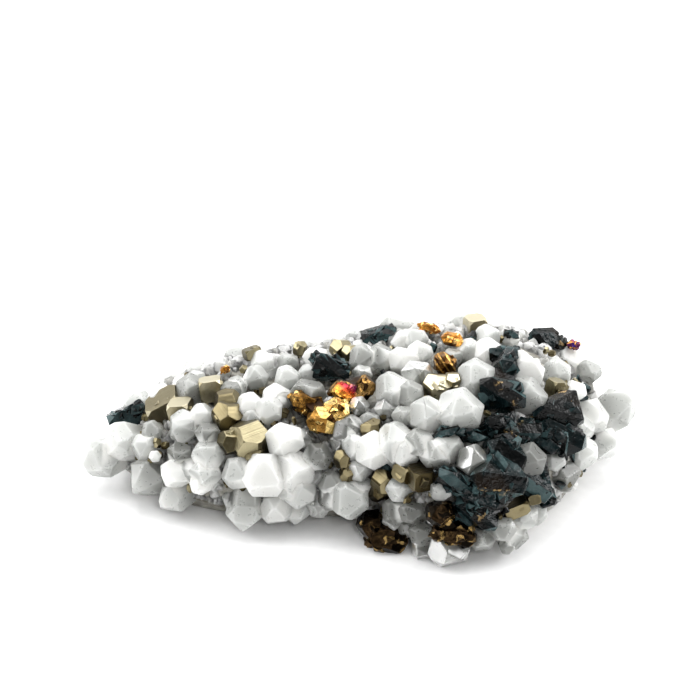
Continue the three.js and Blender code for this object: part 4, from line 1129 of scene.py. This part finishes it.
def quartz_material(name, white, middle, grey, clear_share):
    """Quartz: milky scattering inside under satin faces, greyer and clearer towards the root and
    where clearness is high, the greying towards the root being painted shade in the crevices, and
    with a painted white highlight along the bevelled edges."""
    material, nodes, links, shader = new_material(name)
    clouds = object_noise(nodes, links, scale=450, detail=3).outputs["Fac"]
    cloudy = added_share(nodes, links, written_on_mesh(nodes, "clearness"), clouds, CLOUD_SHARE)
    deeper = added_share(nodes, links, cloudy, written_on_mesh(nodes, "from_tip"), ROOT_PAINTED_SHADE)
    tone = coloured_ramp(nodes, [(0.26, white), (0.6, middle), (1.0, grey)])
    links.new(deeper, tone.inputs["Fac"])
    painted_highlight_share = nodes.new("ShaderNodeMath")
    painted_highlight_share.operation = "MULTIPLY"
    painted_highlight_share.inputs[1].default_value = EDGE_HIGHLIGHT_SHARE
    links.new(written_on_mesh(nodes, "painted_edge_highlight"), painted_highlight_share.inputs[0])
    edges_with_painted_highlight = laid_over(
        nodes, links, tone.outputs["Color"], PAINTED_EDGE_HIGHLIGHT_WHITE, painted_highlight_share.outputs["Value"]
    )
    links.new(edges_with_painted_highlight, shader.inputs["Base Color"])
    clear = nodes.new("ShaderNodeMapRange")
    clear.inputs["From Min"].default_value = 0.3
    clear.inputs["From Max"].default_value = 1.2
    clear.inputs["To Max"].default_value = clear_share
    links.new(deeper, clear.inputs["Value"])
    links.new(clear.outputs["Result"], shader.inputs["Transmission Weight"])
    shader.inputs["IOR"].default_value = QUARTZ_IOR
    shader.inputs["Subsurface Weight"].default_value = 1.0
    shader.inputs["Subsurface Radius"].default_value = (1.0, 1.0, 1.0)
    shader.inputs["Subsurface Scale"].default_value = MILK_DEPTH
    frost = object_noise(nodes, links, scale=1800, detail=3)
    frosted = nodes.new("ShaderNodeMapRange")
    frosted.inputs["From Min"].default_value = 0.35
    frosted.inputs["From Max"].default_value = 0.65
    frosted.inputs["To Min"].default_value = 0.26
    frosted.inputs["To Max"].default_value = 0.38
    links.new(frost.outputs["Fac"], frosted.inputs["Value"])
    links.new(frosted.outputs["Result"], shader.inputs["Roughness"])
    bumped(nodes, links, shader, frost.outputs["Fac"], distance=0.00001, strength=0.15)
    return material


milky_quartz = quartz_material(
    "milky_quartz", (0.62, 0.62, 0.6), (0.5, 0.51, 0.49), (0.26, 0.265, 0.245), clear_share=0.65
)
crystals = []
for index, row in enumerate(SEEN_CRYSTALS):
    across, up, width, stand_out, right, rise, clarity, *given_turn = row
    tip = spot_seen_at(across, up, stand_out)
    direction = rooted_direction(tip, direction_seen_as(right, rise))
    length = length_to_rock(tip, direction) + ROOT_DEPTH
    spin = given_turn[0] if given_turn else SIXTH_TURN * next(number_stream(index + 100))
    crystals.append(grown_crystal(tip, direction, width, length, spin, index + 1, clarity))
for index, block in enumerate(seats):
    size = block[3]
    tip = middle_of(block)
    direction = rooted_direction(tip, direction_seen_as(0, SEAT_RISE))
    width = SEAT_WIDTH * min(size[0], size[1]) + SEAT_RIM
    length = length_to_rock(tip, direction) + ROOT_DEPTH
    spin = SIXTH_TURN * next(number_stream(index + 300))
    crystals.append(grown_crystal(tip, direction, width, length, spin, index, SEAT_CLARITY))


# The quartz crystals that cover the rest of the rock: between the others, all over the back,
# and standing out sideways round the rim, where the lowest are cut off flat.
LEAN_SPREAD = 0.5
SPREAD_ROOT_DEPTH = 3
# How near the rock's ends the crystals come, as shares of its half length
SPREAD_REACH = 0.98
RIM_REACH = 0.96


def outward_direction(x, turn, random):
    """Square to the rock, give or take."""
    side = (x / ROCK_HALF_LENGTH) ** 3 + LEAN_SPREAD * (next(random) - 0.5)
    depth = -math.cos(turn) + LEAN_SPREAD * (next(random) - 0.5)
    height = math.sin(turn) * 1.2 + LEAN_SPREAD * (next(random) - 0.5) + 0.1
    return Vector((side, depth, height)).normalized()


def spread_crystals(count, narrowest, widest, stand_out, seed, from_turn, to_turn, greyness):
    """Crystals square to the rock over a stretch of its girth, which runs from 0 at the front
    edge to 1 at the back edge."""
    random = number_stream(seed)
    for i in range(count):
        x = ROCK_HALF_LENGTH * (2 * next(random) - 1) * SPREAD_REACH
        turn = math.pi * (from_turn + (to_turn - from_turn) * next(random))
        foot = rock_foot(x, turn)
        direction = outward_direction(x, turn, random)
        width = narrowest + (widest - narrowest) * next(random)
        rise = stand_out * (0.7 + 0.5 * next(random))
        spin = SIXTH_TURN * next(random)
        tip = foot + rise * direction
        clarity = greyness + 0.6 * next(number_stream(seed + 3 * i))
        length = rise + SPREAD_ROOT_DEPTH
        crystals.append(grown_crystal(tip, direction, width, length, spin, seed + i * 7, clarity))


def rim_crystals(count, narrowest, widest, stand_out, seed):
    """Crystals that stand out sideways all round the rim."""
    random = number_stream(seed)
    for i in range(count):
        turn = 2 * math.pi * (i + 0.8 * next(random)) / count
        x = ROCK_HALF_LENGTH * math.cos(turn) * RIM_REACH
        middle, half, _ = rock_at(x)
        share = math.copysign(abs(math.sin(turn)) ** 0.6, math.sin(turn))
        foot = Vector((x, middle + half * share, ROCK_RIM_HEIGHT * (0.8 + 0.5 * next(random))))
        side = math.cos(turn) + 0.5 * (next(random) - 0.5)
        depth = 1.2 * share + 0.4 * (next(random) - 0.5)
        direction = Vector((side, depth, 0.7 * (next(random) - 0.6))).normalized()
        width = narrowest + (widest - narrowest) * next(random)
        rise = stand_out * (0.6 + 0.8 * next(random))
        spin = SIXTH_TURN * next(random)
        tip = foot + rise * direction
        length = rise + ROOT_DEPTH
        clarity = 0.3 + 0.55 * next(number_stream(seed + 3 * i))
        crystals.append(grown_crystal(tip, direction, width, length, spin, seed + i * 5, clarity))


spread_crystals(
    count=28,
    narrowest=1.8,
    widest=2.6,
    stand_out=1.3,
    seed=11,
    from_turn=0.02,
    to_turn=0.6,
    greyness=0.35,
)
spread_crystals(
    count=44,
    narrowest=2.6,
    widest=4.2,
    stand_out=2.4,
    seed=23,
    from_turn=0.62,
    to_turn=0.99,
    greyness=0.0,
)
rim_crystals(count=36, narrowest=2.0, widest=3.2, stand_out=1.9, seed=31)
whole = bmesh.new()
whole.from_mesh(grown_together(crystals))
whole.transform(to_metres)
crystal_piece = finished_piece("quartz_crystals", whole, milky_quartz)
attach(crystal_piece, "root")
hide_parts("quartz")


# Loose grains of ore: small crystals of pyrite and dark bits of sphalerite that grew in the
# gaps between the quartz crystals, where they darken the crevices, partly as painted shade. Each
# kind has its count, how far it spreads to the left as a share of the rock, and its seed.
GRAIN_KINDS = [
    ("pyrite_grains", "pyrite", pale_pyrite, 80, 0.9, 41),
    ("pyrite_dark_grains", "pyrite", brown_pyrite, 90, 0.9, 43),
    ("sphalerite_grains", "sphalerite", blende, 70, -0.1, 47),
]
GRAIN_REACH_RIGHT = 0.9
LEAST_GRAIN = 0.4
MORE_GRAIN = 0.7
for name, habit, look, count, reach_left, seed in GRAIN_KINDS:
    grains = bmesh.new()
    random = number_stream(seed)
    for i in range(count):
        x = ROCK_HALF_LENGTH * ((GRAIN_REACH_RIGHT + reach_left) * next(random) - reach_left)
        turn = math.pi * (0.04 + 0.5 * next(random))
        direction = outward_direction(x, turn, random)
        middle = rock_foot(x, turn) + (0.5 + 1.0 * next(random)) * direction
        size = [LEAST_GRAIN + MORE_GRAIN * next(random) for _ in range(3)]
        grain = habit_block(habit, size)
        toned_and_shaded_by_face(grain, i)
        striated(grain)
        grain.transform(Matrix.Translation(middle) @ turned_by([360 * next(random)] * 3))
        grain.transform(to_metres)
        added_to(grains, grain)
    piece = finished_piece(name, grains, look)
    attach(piece, "root")


# The druse: a crust of small quartz crystals, most of them under a millimetre wide, that covers
# the rock wherever it would show between the large ones. They are larger on the back and at
# the right end, where the large ones stand apart.
DRUSE_COUNT = 3200
DRUSE_SEED = 61
OPEN_RIGHT_FROM = 14
OPEN_BACK_FROM_TURN = 0.55 * math.pi
DRUSE_PATTERNS = 5
LEAST_DRUSE_SIZE = 0.5
MORE_IN_THE_OPEN = 1.5
MORE_BETWEEN = 0.7
DRUSE_RISE = 0.7
DRUSE_REACH = 0.985
grey_quartz = quartz_material(
    "druse_quartz", (0.6, 0.6, 0.58), (0.46, 0.46, 0.44), (0.26, 0.25, 0.22), clear_share=0.5
)
patterns = []
for kind in range(DRUSE_PATTERNS):
    grain, _ = crystal_form(width=1, length=2.2, spin=12 * kind, seed=700 + kind)
    bmesh.ops.recalc_face_normals(grain, faces=grain.faces)
    clearness = grain.verts.layers.float.new("clearness")
    for vert in grain.verts:
        vert[clearness] = 0.2 + 0.15 * kind
    mesh = bpy.data.meshes.new("grain")
    grain.to_mesh(mesh)
    grain.free()
    patterns.append(mesh)
druse = bmesh.new()
druse.verts.layers.float.new("clearness")
random = number_stream(DRUSE_SEED)
for i in range(DRUSE_COUNT):
    x = ROCK_HALF_LENGTH * (2 * next(random) - 1) * DRUSE_REACH
    # Some are drawn past the front and back edges, and so stand on them
    turn = math.pi * min(0.999, max(0.001, 1.24 * next(random) - 0.08))
    foot = rock_foot(x, turn)
    direction = outward_direction(x, turn, random)
    in_the_open = turn > OPEN_BACK_FROM_TURN or x > OPEN_RIGHT_FROM
    more = MORE_IN_THE_OPEN if in_the_open else MORE_BETWEEN
    size = LEAST_DRUSE_SIZE + more * next(random) ** 1.5
    grain = patterns[i % DRUSE_PATTERNS].copy()
    turned = direction.to_track_quat("Z", "Y").to_matrix().to_4x4()
    place = Matrix.Translation(foot + DRUSE_RISE * size * direction) @ turned @ Matrix.Scale(size, 4)
    grain.transform(to_metres @ place)
    druse.from_mesh(grain)
    bpy.data.meshes.remove(grain)
druse_piece = finished_piece("quartz_druse", druse, grey_quartz)
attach(druse_piece, "root")
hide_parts("quartz")
